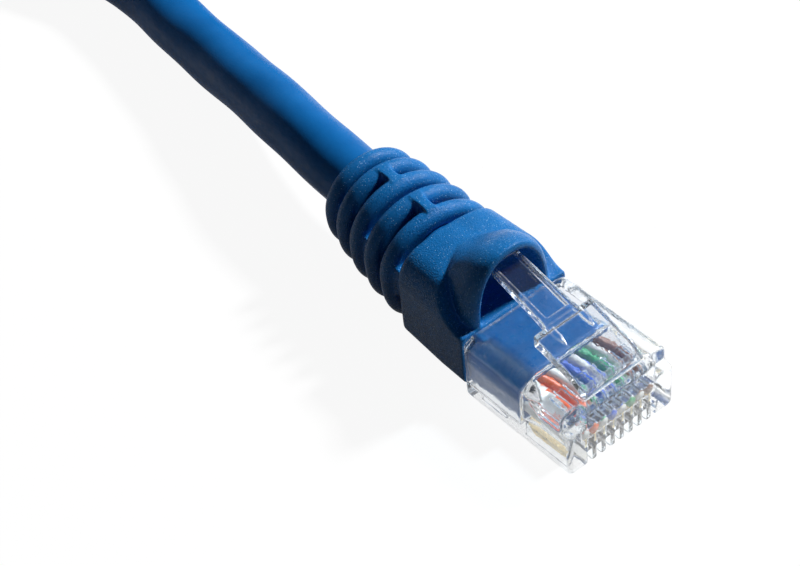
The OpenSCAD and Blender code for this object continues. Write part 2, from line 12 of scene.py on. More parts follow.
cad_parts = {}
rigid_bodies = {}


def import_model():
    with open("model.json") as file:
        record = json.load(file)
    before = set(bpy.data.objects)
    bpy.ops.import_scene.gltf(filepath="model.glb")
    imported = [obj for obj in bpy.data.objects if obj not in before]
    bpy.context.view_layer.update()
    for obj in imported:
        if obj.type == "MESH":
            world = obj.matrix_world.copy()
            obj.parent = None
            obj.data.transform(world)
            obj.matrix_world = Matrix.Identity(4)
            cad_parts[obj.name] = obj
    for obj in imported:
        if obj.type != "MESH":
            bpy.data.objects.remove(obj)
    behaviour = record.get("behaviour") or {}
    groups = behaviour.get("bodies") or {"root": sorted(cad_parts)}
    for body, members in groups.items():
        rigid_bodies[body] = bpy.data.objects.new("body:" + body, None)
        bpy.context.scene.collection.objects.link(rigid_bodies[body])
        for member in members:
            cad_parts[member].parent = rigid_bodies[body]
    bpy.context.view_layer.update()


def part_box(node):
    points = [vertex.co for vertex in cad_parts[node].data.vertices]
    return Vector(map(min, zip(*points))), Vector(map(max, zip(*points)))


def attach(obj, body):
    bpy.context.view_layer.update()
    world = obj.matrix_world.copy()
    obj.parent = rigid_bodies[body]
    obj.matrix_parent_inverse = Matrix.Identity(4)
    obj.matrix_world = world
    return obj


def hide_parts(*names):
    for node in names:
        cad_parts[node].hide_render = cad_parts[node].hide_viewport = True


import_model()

MM = 0.001
scene = bpy.context.scene
scene.view_settings.view_transform = "Standard"
NOSE_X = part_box("near_housing")[1].x / MM      # the near plug's nose; plug sizes are measured from it

# ------------------------------------------------------------------ camera
AZIMUTH, ELEVATION, ROLL = 54.88, 43.89, -6.79
DISTANCE, LENS, SENSOR = 161.63, 87.33, 36.0
AIM = (-10.0, 0.0, 3.0)         # measured from the nose
ASIDE = (-11.45, 5.645)         # the camera stands this far right of and above the aim line
CLIP_START_M, CLIP_END_M = 0.005, 20


def camera():
    a, e, r = (math.radians(v) for v in (AZIMUTH, ELEVATION, ROLL))
    back = Vector((math.sin(a) * math.cos(e), -math.cos(a) * math.cos(e), math.sin(e)))
    level = Vector((0, 0, 1)).cross(back).normalized()
    upright = back.cross(level)
    right = math.cos(r) * level + math.sin(r) * upright
    up = -math.sin(r) * level + math.cos(r) * upright
    place = Vector(AIM) + Vector((NOSE_X, 0, 0)) + back * DISTANCE + right * ASIDE[0] + up * ASIDE[1]
    data = bpy.data.cameras.new("camera")
    data.lens, data.sensor_width, data.sensor_fit = LENS, SENSOR, "HORIZONTAL"
    data.clip_start, data.clip_end = CLIP_START_M, CLIP_END_M
    obj = bpy.data.objects.new("camera", data)
    scene.collection.objects.link(obj)
    stand = Matrix((right, up, back)).transposed().to_4x4()
    stand.translation = place * MM
    obj.matrix_world = stand
    scene.camera = obj


camera()


# ------------------------------------------------------------------ mesh helpers
def add_mesh(name, points, faces, material=None):
    """A smooth-shaded object from points in millimetres."""
    mesh = bpy.data.meshes.new(name)
    mesh.from_pydata((np.asarray(points, float) * MM).tolist(), [], [tuple(int(i) for i in f) for f in faces])
    mesh.validate()
    mesh.update()
    obj = bpy.data.objects.new(name, mesh)
    scene.collection.objects.link(obj)
    if material is not None:
        mesh.materials.append(material)
    mesh.polygons.foreach_set("use_smooth", [True] * len(mesh.polygons))
    return obj


def resample(points, step):
    """Points about step apart on a smooth curve (Catmull-Rom, centripetal) through the given ones."""
    p = [np.array(q, float) for q in points]
    p = [2 * p[0] - p[1]] + p + [2 * p[-1] - p[-2]]
    out = []
    for k in range(1, len(p) - 2):
        p0, p1, p2, p3 = p[k - 1:k + 3]
        n = max(1, int(round(np.linalg.norm(p2 - p1) / step)))
        t0 = 0.0
        t1 = t0 + np.linalg.norm(p1 - p0) ** 0.5
        t2 = t1 + np.linalg.norm(p2 - p1) ** 0.5
        t3 = t2 + np.linalg.norm(p3 - p2) ** 0.5
        for i in range(n):
            t = t1 + (t2 - t1) * i / n
            a1 = (t1 - t) / (t1 - t0) * p0 + (t - t0) / (t1 - t0) * p1
            a2 = (t2 - t) / (t2 - t1) * p1 + (t - t1) / (t2 - t1) * p2
            a3 = (t3 - t) / (t3 - t2) * p2 + (t - t2) / (t3 - t2) * p3
            b1 = (t2 - t) / (t2 - t0) * a1 + (t - t0) / (t2 - t0) * a2
            b2 = (t3 - t) / (t3 - t1) * a2 + (t - t1) / (t3 - t1) * a3
            out.append((t2 - t) / (t2 - t1) * b1 + (t - t1) / (t2 - t1) * b2)
    out.append(p[-2])
    return np.array(out)


def ring_faces(rows, sides, closed=False):
    """Quads between neighbouring rings of points; closed joins the last ring to the first."""
    pairs = [(k, (k + 1) % rows) for k in range(rows if closed else rows - 1)]
    return [(a * sides + j, a * sides + (j + 1) % sides, b * sides + (j + 1) % sides, b * sides + j)
            for a, b in pairs for j in range(sides)]


def tube_mesh(path, radius, sides):
    """Points and faces of a closed tube; radius is a number, or a function of (distance, angle)."""
    tangent = np.gradient(path, axis=0)
    tangent /= np.linalg.norm(tangent, axis=1)[:, None]
    side = np.cross([0, 0, 1], tangent)
    side /= np.linalg.norm(side, axis=1)[:, None]
    up = np.cross(tangent, side)
    angle = 2 * np.pi * np.arange(sides) / sides
    far = np.concatenate([[0], np.cumsum(np.linalg.norm(np.diff(path, axis=0), axis=1))])
    if callable(radius):
        r = radius(far[:, None], angle[None, :])
    else:
        r = np.full((len(path), sides), float(radius))
    out = np.cos(angle)[None, :, None] * side[:, None, :] + np.sin(angle)[None, :, None] * up[:, None, :]
    points = path[:, None, :] + r[..., None] * out
    faces = ring_faces(len(path), sides)
    faces.append(tuple(range(sides - 1, -1, -1)))
    faces.append(tuple((len(path) - 1) * sides + j for j in range(sides)))
    return points.reshape(-1, 3), faces


def ease(t):
    t = np.clip(t, 0.0, 1.0)
    return t * t * (3 - 2 * t)


# ------------------------------------------------------------------ the cord, first
CORD_D = 6.3
CORD_R = CORD_D / 2
PLUG_W, PLUG_L, PLUG_H = 11.68, 12.7, 6.45
BODY_L, RING_GAP, RING_T, RING_PITCH, RINGS = 8.5, 0.95, 1.4, 2.45, 5
BODY_BACK = PLUG_L + BODY_L
RELIEF_L = RING_GAP + RING_T + (RINGS - 1) * RING_PITCH
RELIEF_BACK = BODY_BACK + RELIEF_L
CORD_Z = 5.95
NEAR_YAW = math.radians(4)      # how far the near strain relief is bent aside
COIL_YAW = math.radians(20)     # the direction in which the cord enters the coil
COIL_R, COIL_TURNS, TURN_GAP, LAYER_GAP, LEAD_L = 32.5, 3.564, 0.5, 0.45, 45.0
CLIMB_TURNS = 0.5               # the coil rises to its second layer over this share of a turn
TURN_STEPS, LEAD_STEPS = 90, 40
FREE_STEP, CORD_STEP, CORD_SIDES = 1.0, 0.8, 40
CORD_WAVES = ((2, 11, 0.045, 0), (3, -17, 0.035, 1))      # lobes, pitch, height and phase
WAVE_ROOM, WAVE_FADE = 0.08, 8  # what they take from the radius, and the length over which they begin

RELIEF_WAY = np.array([-math.cos(NEAR_YAW), math.sin(NEAR_YAW), 0])
RELIEF_END = np.array([NOSE_X - BODY_BACK, 0, CORD_Z]) + RELIEF_L * RELIEF_WAY
COIL_WAY = np.array([-math.cos(COIL_YAW), -math.sin(COIL_YAW), 0])
COIL_SIDE = np.array([COIL_WAY[1], -COIL_WAY[0], 0])
COIL_START = np.array([-77, 2.25, CORD_R])
FREE_POINTS = [(-28.7, 2, 5.7), (-34.7, 2.85, 5), (-40.7, 3.65, 4.3), (-46.7, 4.35, 3.75),
               (-52.7, 5.05, 3.35), (-59.2, 5.8, 3.17), (-65.2, 5.8, 3.15)]
TURN_STEP, LAYER_STEP = CORD_D + TURN_GAP, CORD_D + LAYER_GAP
COIL_OUTER = COIL_R + TURN_STEP * COIL_TURNS / 4
COIL_CENTRE = COIL_START + CORD_D * COIL_WAY + COIL_OUTER * COIL_SIDE


def coil_radius(turns):
    return COIL_OUTER - TURN_STEP * min(turns, COIL_TURNS - turns)


def coil_point(turns):
    rise = LAYER_STEP * ease((turns - COIL_TURNS / 2 + CLIMB_TURNS / 2) / CLIMB_TURNS)
    a = 2 * math.pi * turns
    flat = COIL_CENTRE + coil_radius(turns) * (math.sin(a) * COIL_WAY - math.cos(a) * COIL_SIDE)
    return flat + np.array([0, 0, rise])


LEAD_TURN = 2 * math.pi * COIL_TURNS
LEAD_WAY = math.cos(LEAD_TURN) * COIL_WAY + math.sin(LEAD_TURN) * COIL_SIDE
LEAD_START = coil_point(COIL_TURNS) + CORD_D * LEAD_WAY
LEAD_RISE = CORD_Z - LEAD_START[2]
FAR_RELIEF_END = LEAD_START + LEAD_L * LEAD_WAY + np.array([0, 0, LEAD_RISE])


def cord_route():
    free = [RELIEF_END, RELIEF_END + CORD_D * RELIEF_WAY] + [np.array(p, float) for p in FREE_POINTS]
    free += [COIL_START - CORD_D * COIL_WAY, COIL_START]
    steps = int(TURN_STEPS * COIL_TURNS)
    coil = [coil_point(COIL_TURNS * k / steps) for k in range(steps + 1)]
    lead = [LEAD_START]
    for k in range(LEAD_STEPS + 1):
        s = CORD_D + (LEAD_L - 2 * CORD_D) * k / LEAD_STEPS
        lead.append(LEAD_START + s * LEAD_WAY + np.array([0, 0, LEAD_RISE * ease(k / LEAD_STEPS)]))
    lead.append(FAR_RELIEF_END)
    return np.concatenate([resample(free, FREE_STEP), np.array(coil), np.array(lead)])


def cord_skin(s, a):
    """The jacket's radius: the twisted pairs inside show through it as faint waves."""
    wave = sum(height * np.sin(lobes * a + 2 * np.pi * s / pitch + phase)
               for lobes, pitch, height, phase in CORD_WAVES)
    return CORD_R - WAVE_ROOM + wave * ease(s / WAVE_FADE)


CORD_PATH = cord_route()
cord = add_mesh("cord", *tube_mesh(resample(CORD_PATH, CORD_STEP), cord_skin, CORD_SIDES))
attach(cord, "root")
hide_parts("cable", "coil", "far_lead")
FAR_PLUG = ["far_housing", "far_latch", "far_inner_mould", "far_boot", "far_jacket_end"]
FAR_PLUG += [f"far_{kind}_{i}" for kind in ("contact", "wire") for i in range(1, 9)]

# ------------------------------------------------------------------ materials
MIX_SHARE, MIX_FIRST, MIX_SECOND, MIX_COLOUR = 0, 6, 7, 2     # the sockets of a mix of two colours
NOISE_LOW, NOISE_HIGH = 0.3, 0.7                              # noise mostly lies between these
GLINT_CORE = 0.6                # the share of a painted glint's radius that is fully bright
FAINTEST_GLINT = 0.35           # painted glints with less strength than this don't show
CLEAR_TINT = (0.93, 0.96, 0.98, 1)
WIRE_SHADE = 0.86               # how dark a wire's darker patches are


def joined(tree, kind, *sources, **settings):
    """The output of a new node whose first inputs are fed by the sources."""
    n = tree.nodes.new(kind)
    for key, value in settings.items():
        setattr(n, key, value)
    for source, socket in zip(sources, n.inputs):
        tree.links.new(source, socket)
    return n.outputs[0]


class Material:
    """A small builder of node materials."""

    def __init__(self, name, **values):
        self.mat = bpy.data.materials.new(name)
        self.mat.use_nodes = True
        self.tree = self.mat.node_tree
        self.shader = self.tree.nodes["Principled BSDF"]
        self.out = self.tree.nodes["Material Output"]
        self.coords = self.node("ShaderNodeTexCoord").outputs["Object"]
        for key, value in values.items():
            self.shader.inputs[key].default_value = value

    def node(self, kind, **values):
        """A new node with values for its inputs."""
        n = self.tree.nodes.new(kind)
        for key, value in values.items():
            n.inputs[key].default_value = value
        return n

    def join(self, kind, *sources, **settings):
        return joined(self.tree, kind, *sources, **settings)

    def link(self, a, b):
        self.tree.links.new(a, b)

    def noise(self, size, detail=2.0, rough=0.5, stretch=None):
        """Noise with features about size across."""
        n = self.node("ShaderNodeTexNoise", Scale=1 / (size * MM), Detail=detail, Roughness=rough)
        if stretch is None:
            self.link(self.coords, n.inputs["Vector"])
        else:
            m = self.node("ShaderNodeMapping", Scale=stretch)
            self.link(self.coords, m.inputs["Vector"])
            self.link(m.outputs["Vector"], n.inputs["Vector"])
        return n.outputs["Fac"]

    def painted_glints(self, spacing, radius):
        """Scattered small light dots of random strength: painted glints that stand in for the sparkle of
        light on the grain.
        """
        n = self.node("ShaderNodeTexVoronoi", Scale=1 / (spacing * MM))
        self.link(self.coords, n.inputs["Vector"])
        chance = self.join("ShaderNodeSeparateColor", n.outputs["Color"])
        dots = self.map(n.outputs["Distance"], radius / spacing, GLINT_CORE * radius / spacing, 0, 1)
        strength = self.map(chance, FAINTEST_GLINT, 1, 0, 1)
        return self.join("ShaderNodeMath", dots, strength, operation="MULTIPLY")

    def map(self, value, from_min, from_max, to_min, to_max):
        n = self.node("ShaderNodeMapRange", **{"From Min": from_min, "From Max": from_max, "To Min": to_min,
                                               "To Max": to_max})
        self.link(value, n.inputs["Value"])
        return n.outputs["Result"]

    def uneven(self, size, detail, low, high):
        """Noise that wanders between low and high."""
        return self.map(self.noise(size, detail), NOISE_LOW, NOISE_HIGH, low, high)

    def blend(self, share, a, b):
        """A colour between a and b; a is a colour or what another blend gives."""
        n = self.tree.nodes.new("ShaderNodeMix")
        n.data_type = "RGBA"
        self.link(share, n.inputs[MIX_SHARE])
        if isinstance(a, tuple):
            n.inputs[MIX_FIRST].default_value = (*a, 1)
        else:
            self.link(a, n.inputs[MIX_FIRST])
        n.inputs[MIX_SECOND].default_value = (*b, 1)
        return n.outputs[MIX_COLOUR]

    def bump(self, height, depth, strength=1.0, chain=None):
        n = self.node("ShaderNodeBump", Strength=strength, Distance=depth * MM)
        self.link(height, n.inputs["Height"])
        if chain is not None:
            self.link(chain, n.inputs["Normal"])
        return n.outputs["Normal"]

    def colour(self, out):
        self.link(out, self.shader.inputs["Base Color"])

    def rough(self, out):
        self.link(out, self.shader.inputs["Roughness"])

    def normal(self, out):
        self.link(out, self.shader.inputs["Normal"])


def boot_material():
    m = Material("boot_pvc", **{"IOR": 1.5, "Specular IOR Level": 0.15})
    ground = m.blend(m.uneven(2.2, 3, 0, 1), (0.008, 0.160, 0.46), (0.013, 0.205, 0.58))
    # painted glints: scattered light-blue dots in the boot's colour stand in for the sparkle of the key lamp
    # on its grain
    m.colour(m.blend(m.painted_glints(0.19, 0.05), ground, (0.38, 0.70, 1.0)))
    m.rough(m.uneven(0.2, 2, 0.18, 0.42))
    grain = m.bump(m.noise(0.13, 2, 0.6), 0.065)
    m.normal(m.bump(m.noise(1.6, 2), 0.05, 0.35, grain))
    return m.mat


def jacket_material():
    m = Material("jacket_pvc", **{"IOR": 1.5, "Specular IOR Level": 0.1})
    m.colour(m.blend(m.uneven(3.0, 3, 0, 1), (0.005, 0.135, 0.42), (0.008, 0.160, 0.48)))
    m.rough(m.uneven(0.5, 3, 0.30, 0.46))
    grain = m.bump(m.noise(0.2, 3, 0.6), 0.015, 0.5)
    m.normal(m.bump(m.noise(2.4, 2), 0.08, 0.3, grain))
    return m.mat


def mould_material():
    m = Material("inner_mould", **{"IOR": 1.5, "Specular IOR Level": 0.3, "Subsurface Weight": 0.6,
                                   "Subsurface Radius": (0.3, 0.7, 1.0), "Subsurface Scale": 0.003})
    m.colour(m.blend(m.uneven(1.8, 3, 0, 1), (0.001, 0.098, 0.31), (0.002, 0.130, 0.39)))
    m.rough(m.uneven(0.6, 2, 0.22, 0.38))
    m.normal(m.bump(m.noise(0.35, 3), 0.02, 0.3))
    return m.mat


def let_lamps_through(m, glow):
    """Lets lamps and soft light pass the clear plastic, which casts a painted glow on what it encloses: an
    emission that only diffuse rays see, standing in for light the plastic scatters inside.
    """
    path = m.node("ShaderNodeLightPath").outputs
    either = m.join("ShaderNodeMath", path["Is Shadow Ray"], path["Is Diffuse Ray"], operation="MAXIMUM")
    clear = m.node("ShaderNodeBsdfTransparent", Color=CLEAR_TINT).outputs[0]
    painted_glow = m.node("ShaderNodeEmission", Strength=glow).outputs[0]
    both = m.join("ShaderNodeAddShader", clear, painted_glow)
    mix = m.join("ShaderNodeMixShader", either, m.shader.outputs[0], both)
    m.link(mix, m.out.inputs["Surface"])


def clear_material(name, edge_highlight, glow):
    """Clear polycarbonate, whiter and rougher along its edges, where the mesh's edge value is high, in
    mottled patches: the whiter edges are a painted highlight that stands in for the bright reflections along
    them.
    """
    m = Material(name, **{"Base Color": (0.965, 0.985, 1.0, 1), "IOR": 1.58})
    edge = m.node("ShaderNodeAttribute")
    edge.attribute_name = "edge"
    patch = m.map(m.noise(0.7, 3, 0.6), 0.35, 0.6, 0.35, 1.0)
    painted_edge_light = m.join("ShaderNodeMath", edge.outputs["Fac"], patch, operation="MULTIPLY")
    # painted highlight: along the edges less light passes, so the nearly white base colour shows
    m.link(m.map(painted_edge_light, 0, 1, 0.99, 1 - edge_highlight), m.shader.inputs["Transmission Weight"])
    m.rough(m.map(painted_edge_light, 0, 1, 0.02, 0.3))
    m.normal(m.bump(m.noise(1.0, 3, 0.55), 0.07, 0.5))
    let_lamps_through(m, glow)
    return m.mat


def gold_material():
    m = Material("gold", **{"Metallic": 1.0})
    m.colour(m.blend(m.uneven(0.6, 3, 0, 1), (0.96, 0.76, 0.44), (1.0, 0.86, 0.60)))
    m.rough(m.uneven(0.3, 3, 0.22, 0.38))
    m.normal(m.bump(m.noise(0.15, 2, stretch=(0.2, 1, 1)), 0.006, 0.3))
    return m.mat


def wire_material(name, colour):
    m = Material("wire_" + name, **{"IOR": 1.5})
    deep = tuple(WIRE_SHADE * c for c in colour)
    m.colour(m.blend(m.uneven(0.9, 2, 0, 1), deep, colour))
    m.rough(m.uneven(0.4, 2, 0.25, 0.4))
    m.normal(m.bump(m.noise(0.5, 2), 0.02, 0.2))
    return m.mat


def strap_material():
    m = Material("strap", **{"IOR": 1.45, "Sheen Weight": 0.4, "Sheen Roughness": 0.5})
    m.colour(m.blend(m.map(m.noise(0.5, 4), 0.35, 0.65, 0, 1), (0.008, 0.008, 0.010), (0.035, 0.035, 0.04)))
    m.rough(m.uneven(0.3, 2, 0.75, 0.95))
    fuzz = m.bump(m.noise(0.12, 4, 0.7), 0.12, 0.9)
    m.normal(m.bump(m.noise(0.45, 3), 0.15, 0.6, fuzz))
    return m.mat


BOOT, JACKET, MOULD = boot_material(), jacket_material(), mould_material()
# painted light: the housing casts a painted glow on the parts inside it, the latch none
CLEAR, CLEAR_LATCH = clear_material("clear_housing", 0.12, 0.17), clear_material("clear_latch", 0.35, 0.0)
GOLD, STRAP = gold_material(), strap_material()
cord.data.materials.append(JACKET)

# ------------------------------------------------------------------ shapes as distance fields
PROBE, PULLS, LEAST_SLOPE, LONGEST_PULL = 0.02, 3, 0.1, 0.5      # for drawing points onto a surface


def smax(a, b, k):
    """The larger of two fields, with the edge where they meet rounded over about k."""
    h = np.maximum(k - np.abs(a - b), 0) / k
    return np.maximum(a, b) + h * h * k / 4


def smin(a, b, k):
    return -smax(-a, -b, k)


def span(v, low, high):
    """Below zero between low and high."""
    return np.abs(v - (low + high) / 2) - (high - low) / 2


def polygon_field(a, b, points):
    """Signed distance to a closed outline, below zero inside."""
    best = np.full(np.broadcast(a, b).shape, 1e9)
    sign = np.ones(best.shape)
    n = len(points)
    for i in range(n):
        (ax, ay), (bx, by) = points[i], points[(i + 1) % n]
        ex, ey = bx - ax, by - ay
        wx, wy = a - ax, b - ay
        t = np.clip((wx * ex + wy * ey) / (ex * ex + ey * ey), 0, 1)
        best = np.minimum(best, (wx - ex * t) ** 2 + (wy - ey * t) ** 2)
        if ey != 0:
            c1, c2 = b >= ay, b < by
            c3 = ex * wy > ey * wx
            sign = np.where((c1 & c2 & c3) | (~c1 & ~c2 & ~c3), -sign, sign)
    return sign * np.sqrt(best)


def drawn_on(field, points, step):
    """Points moved onto the surface where a field is zero, by half a step at most each time."""
    for _ in range(PULLS):
        u, y, z = points.T
        slope = np.stack([field(u + PROBE, y, z) - field(u - PROBE, y, z),
                          field(u, y + PROBE, z) - field(u, y - PROBE, z),
                          field(u, y, z + PROBE) - field(u, y, z - PROBE)], axis=1) / (2 * PROBE)
        steep = np.maximum((slope * slope).sum(axis=1), LEAST_SLOPE)
        move = field(u, y, z)[:, None] * slope / steep[:, None]
        size = np.linalg.norm(move, axis=1)[:, None]
        points = points - move * np.minimum(1, LONGEST_PULL * step / np.maximum(size, 1e-9))
    return points


def quads_across(axis, cut, starts_inside, number):
    """The quads across the cut grid lines along one axis; number gives each cell's point."""
    o0, o1 = [i for i in range(3) if i != axis]
    inner = [slice(None)] * 3
    inner[o0], inner[o1] = slice(1, -1), slice(1, -1)
    at = list(np.nonzero(cut[tuple(inner)]))
    at[o0] = at[o0] + 1
    at[o1] = at[o1] + 1
    corners = []
    for d0, d1 in ((1, 1), (0, 1), (0, 0), (1, 0)):
        cell = list(at)
        cell[o0] = at[o0] - d0
        cell[o1] = at[o1] - d1
        corners.append(number[tuple(cell)])
    quads = np.stack(corners, axis=1)
    starts = starts_inside[tuple(at)]
    backward = starts if axis == 1 else ~starts
    quads[backward] = quads[backward][:, ::-1]
    return quads


def skin(field, low, high, step):
    """Points and quads of the surface where a field is zero, by surface nets with cells one step wide.

    The whole surface lies between the corners low and high.
    """
    low, high = np.array(low, float), np.array(high, float)
    n = np.ceil((high - low) / step).astype(int) + 1
    u, y, z = (low[i] + step * np.arange(n[i]) for i in range(3))
    values = field(u[:, None, None], y[None, :, None], z[None, None, :])
    values = np.broadcast_to(values, tuple(n)).astype(np.float32)
    inside = values < 0
    cells = tuple(n - 1)
    count = np.zeros(cells, np.int32)
    total = [np.zeros(cells, np.float32) for _ in range(3)]
    cuts = []
    for axis in range(3):
        start, end = [slice(None)] * 3, [slice(None)] * 3
        start[axis], end[axis] = slice(0, -1), slice(1, None)
        before, after = values[tuple(start)], values[tuple(end)]
        cut = inside[tuple(start)] != inside[tuple(end)]
        share = np.where(cut, before / np.where(cut, before - after, 1), 0).astype(np.float32)
        cuts.append((axis, cut, inside[tuple(start)]))
        o0, o1 = [i for i in range(3) if i != axis]
        for d0, d1 in ((0, 0), (0, 1), (1, 0), (1, 1)):
            line = [slice(None)] * 3
            line[o0] = slice(d0, n[o0] - 1 + d0)
            line[o1] = slice(d1, n[o1] - 1 + d1)
            here = cut[tuple(line)]
            count += here
            total[axis] += share[tuple(line)]
            total[o0] += here * np.float32(d0)
            total[o1] += here * np.float32(d1)
    live = np.nonzero(count)
    number = np.full(cells, -1, np.int64)
    number[live] = np.arange(len(live[0]))
    points = np.stack([low[i] + step * (live[i] + total[i][live] / count[live]) for i in range(3)], axis=1)
    quads = np.concatenate([quads_across(*c, number) for c in cuts])
    return drawn_on(field, points, step), quads


def edge_values(field, points, reach, full):
    """How sharply the surface turns at each point, from 0 where flat to 1 where it bends by full or more."""
    u, y, z = points.T
    bend_sum = -6 * field(u, y, z)
    for du, dy, dz in ((reach, 0, 0), (0, reach, 0), (0, 0, reach)):
        bend_sum = bend_sum + field(u + du, y + dy, z + dz) + field(u - du, y - dy, z - dz)
    return np.clip(np.abs(bend_sum) / reach ** 2 / full, 0, 1)


def facing_out(points, quads):
    """The quads, turned so that the closed skin faces out."""
    a, b, c, d = (points[quads[:, i]] for i in range(4))
    volume = (np.cross(a, b) * c).sum() + (np.cross(a, c) * d).sum()
    return quads if volume > 0 else quads[:, ::-1]


def fine(rows, steps=24):
    """A table of sections with smooth values between its rows (cubic Hermite)."""
    rows = np.array(rows, float)
    s = rows[:, 0]
    out = [np.linspace(a, b, steps, endpoint=False) for a, b in zip(s, s[1:])]
    out = np.concatenate(out + [[s[-1]]])
    columns = [out]
    for k in range(1, rows.shape[1]):
        v = rows[:, k]
        slope = np.gradient(v, s)
        i = np.clip(np.searchsorted(s, out, side="right") - 1, 0, len(s) - 2)
        h = s[i + 1] - s[i]
        t = (out - s[i]) / h
        columns.append((2 * t ** 3 - 3 * t ** 2 + 1) * v[i] + (t ** 3 - 2 * t ** 2 + t) * h * slope[i]
                       + (3 * t ** 2 - 2 * t ** 3) * v[i + 1] + (t ** 3 - t ** 2) * h * slope[i + 1])
    return columns


# ------------------------------------------------------------------ the boot
# u runs back from the plug's nose, y across, z up
HOOD_TOP, HOOD_LOW, HOOD_L, HOOD_WALL, MOUTH_R, CAVE_L = 12.85, PLUG_H - 1, 5.7, 0.72, 3.5, 3.8
BODY_TOP, DOME_R, CORNER_R, BODY_LOW, BODY_LIFT = 10.15, 16.0, 2.9, 1.1, 0.4
BODY_REAR_W, TAPER_FRONT, TAPER_L = 11.2, 3, 5.1
WING_RISE, WING_RUN = 3.4, 3.9      # the scoops beside the hood
# how far behind the mouth, how much wider than it and how much higher than its top
HOOD_OUTSIDE = [
    (0, 0.35, -0.3), (0.12, 0.52, -0.08), (0.4, 0.76, 0), (0.9, 0.98, -0.06), (1.4, 1.05, -0.17),
    (2, 0.96, -0.37), (2.6, 0.74, -0.65), (3.2, 0.45, -1.05), (3.8, 0.1, -1.5), (4.4, -0.35, -1.95),
    (5, -0.95, -2.35), (5.7, -1.9, -2.72)]
HOOD_INSIDE = [(-1, 0, 0.1), (0, 0, 0), (1, -0.05, -0.08), (1.7, -0.15, -0.25), (2.4, -0.35, -0.6),
               (3.1, -0.65, -1.3), (3.8, -1.1, -2.6)]
ARCH_POWER = 2.35
RING_FIRST_R, RING_LAST_R, RING_TAPER, RING_FAT = 5.9, 4.95, 1.8, 1.75
RING_FLAT, RING_SLIM = 1.3, 0.15    # how much lower on top and narrower than round
RING_POWER, RING_FADE = 0.9, 0.6    # how much squarer below, and how much rounder the last ring is again
WEB_BACK, WEB_ROUND, TOP_WEB_W, TOP_WEB_IN, SIDE_WEB_W, SIDE_WEB_IN = 0.6, 0.35, 0.95, 0.02, 2.6, 0.7
BORE_R, BORE_FRONT = CORD_R + 0.05, 17.9
MOULD_REAR_W, MOULD_REAR = 8.7, 18.36
POCKET_LOW, POCKET_TOP, POCKET_REAR_TOP = 1.85, PLUG_H - 1, CORD_Z + 0.35
BEND_L = 0.9                        # the relief's bend is spread over this length
BOOT_STEP = 0.15


def scoop(u):
    """Height and slope of the scoops."""
    t = np.clip((u - PLUG_L) / WING_RUN, 0, 2)
    return PLUG_H + WING_RISE * t * t, 2 * WING_RISE / WING_RUN * t


def arch_field(u, y, z, table, top, foot):
    s, wide, high = table
    at = u - PLUG_L
    w = MOUTH_R + np.interp(at, s, wide)
    t = top + np.interp(at, s, high)
    rise = np.maximum(z - foot, 0)
    rho = ((np.abs(y) / w) ** ARCH_POWER + (rise / (t - foot)) ** ARCH_POWER) ** (1 / ARCH_POWER)
    r = np.sqrt(y * y + rise * rise)
    return np.where(rho > 1e-4, r - r / np.maximum(rho, 1e-4), -w)


OUTSIDE, INSIDE = fine(HOOD_OUTSIDE), fine(HOOD_INSIDE)


def body_field(u, y, z):
    """A block with a domed top and rounded corners, scooped at its front."""
    a = np.abs(y)
    w = PLUG_W / 2 - (PLUG_W - BODY_REAR_W) / 2 * np.clip((u - PLUG_L - TAPER_FRONT) / TAPER_L, 0, 1)
    cy = w - CORNER_R
    reach = DOME_R - CORNER_R
    cz = BODY_TOP - DOME_R + np.sqrt(reach ** 2 - cy ** 2)
    turn = np.arcsin(cy / reach)
    ang = np.arctan2(z - cz, a - cy)
    corner = np.sqrt((a - cy) ** 2 + (z - cz) ** 2) - CORNER_R
    dome = np.sqrt(a * a + (z - BODY_TOP + DOME_R) ** 2) - DOME_R
    ring = np.where(ang < np.pi / 2 - turn, corner, dome)
    side = np.where(z < cz, a - w, ring)
    low = BODY_LOW + BODY_LIFT * np.clip((u - PLUG_L) / BODY_L, 0, 1)
    d = smax(side, low - z, 0.7)
    high, slope = scoop(u)
    d = smax(d, (z - high) / np.sqrt(1 + slope * slope), 0.3)
    d = smax(d, PLUG_L - u, 0.12)
    return smax(d, u - BODY_BACK, 0.6)


def ring_r(k):
    return RING_FIRST_R + (RING_LAST_R - RING_FIRST_R) * (k / (RINGS - 1)) ** RING_TAPER


def ring_at(k):
    return RING_GAP + RING_T / 2 + k * RING_PITCH


def relief_field(s, y, z):
    """The strain relief's rings and webs; s runs along its axis from the body."""
    z = z - CORD_Z
    length = np.sqrt(y * y + z * z)
    d = 1e3
    for k in range(RINGS):
        r, share = ring_r(k), 1 - RING_FADE * k / (RINGS - 1)
        power = np.where(z > 0, 2.0, 2.0 + RING_POWER * share)
        high = np.where(z > 0, r - RING_FLAT * share ** 1.3, r)
        scale = ((np.abs(y) / (r - RING_SLIM)) ** power + (np.abs(z) / high) ** power) ** (1 / power)
        rho = r + length - length / np.maximum(scale, 1e-3)
        rim = np.maximum(rho - (r - RING_FAT / 2), 0)
        middle = min(ring_at(k), RELIEF_L - RING_FAT / 2)
        disc = np.sqrt(rim ** 2 + (s - middle) ** 2) - RING_FAT / 2
        start = ring_at(k - 1) if k else -WEB_BACK
        if k % 2:
            web = np.maximum(np.abs(y) - TOP_WEB_W / 2, rho - (r - TOP_WEB_IN))
        else:
            web = np.maximum(np.abs(z) - SIDE_WEB_W / 2, rho - (r - SIDE_WEB_IN))
        web = np.maximum(web, span(s, start, ring_at(k)))
        d = smin(smin(d, web, WEB_ROUND), disc, WEB_ROUND)
    return d


def pocket_top(u):
    """The sloping top of what the inner mould fills behind the plug."""
    behind = np.clip((u - PLUG_L) / (MOULD_REAR - PLUG_L), 0, 1)
    return POCKET_TOP + (POCKET_REAR_TOP - POCKET_TOP) * behind


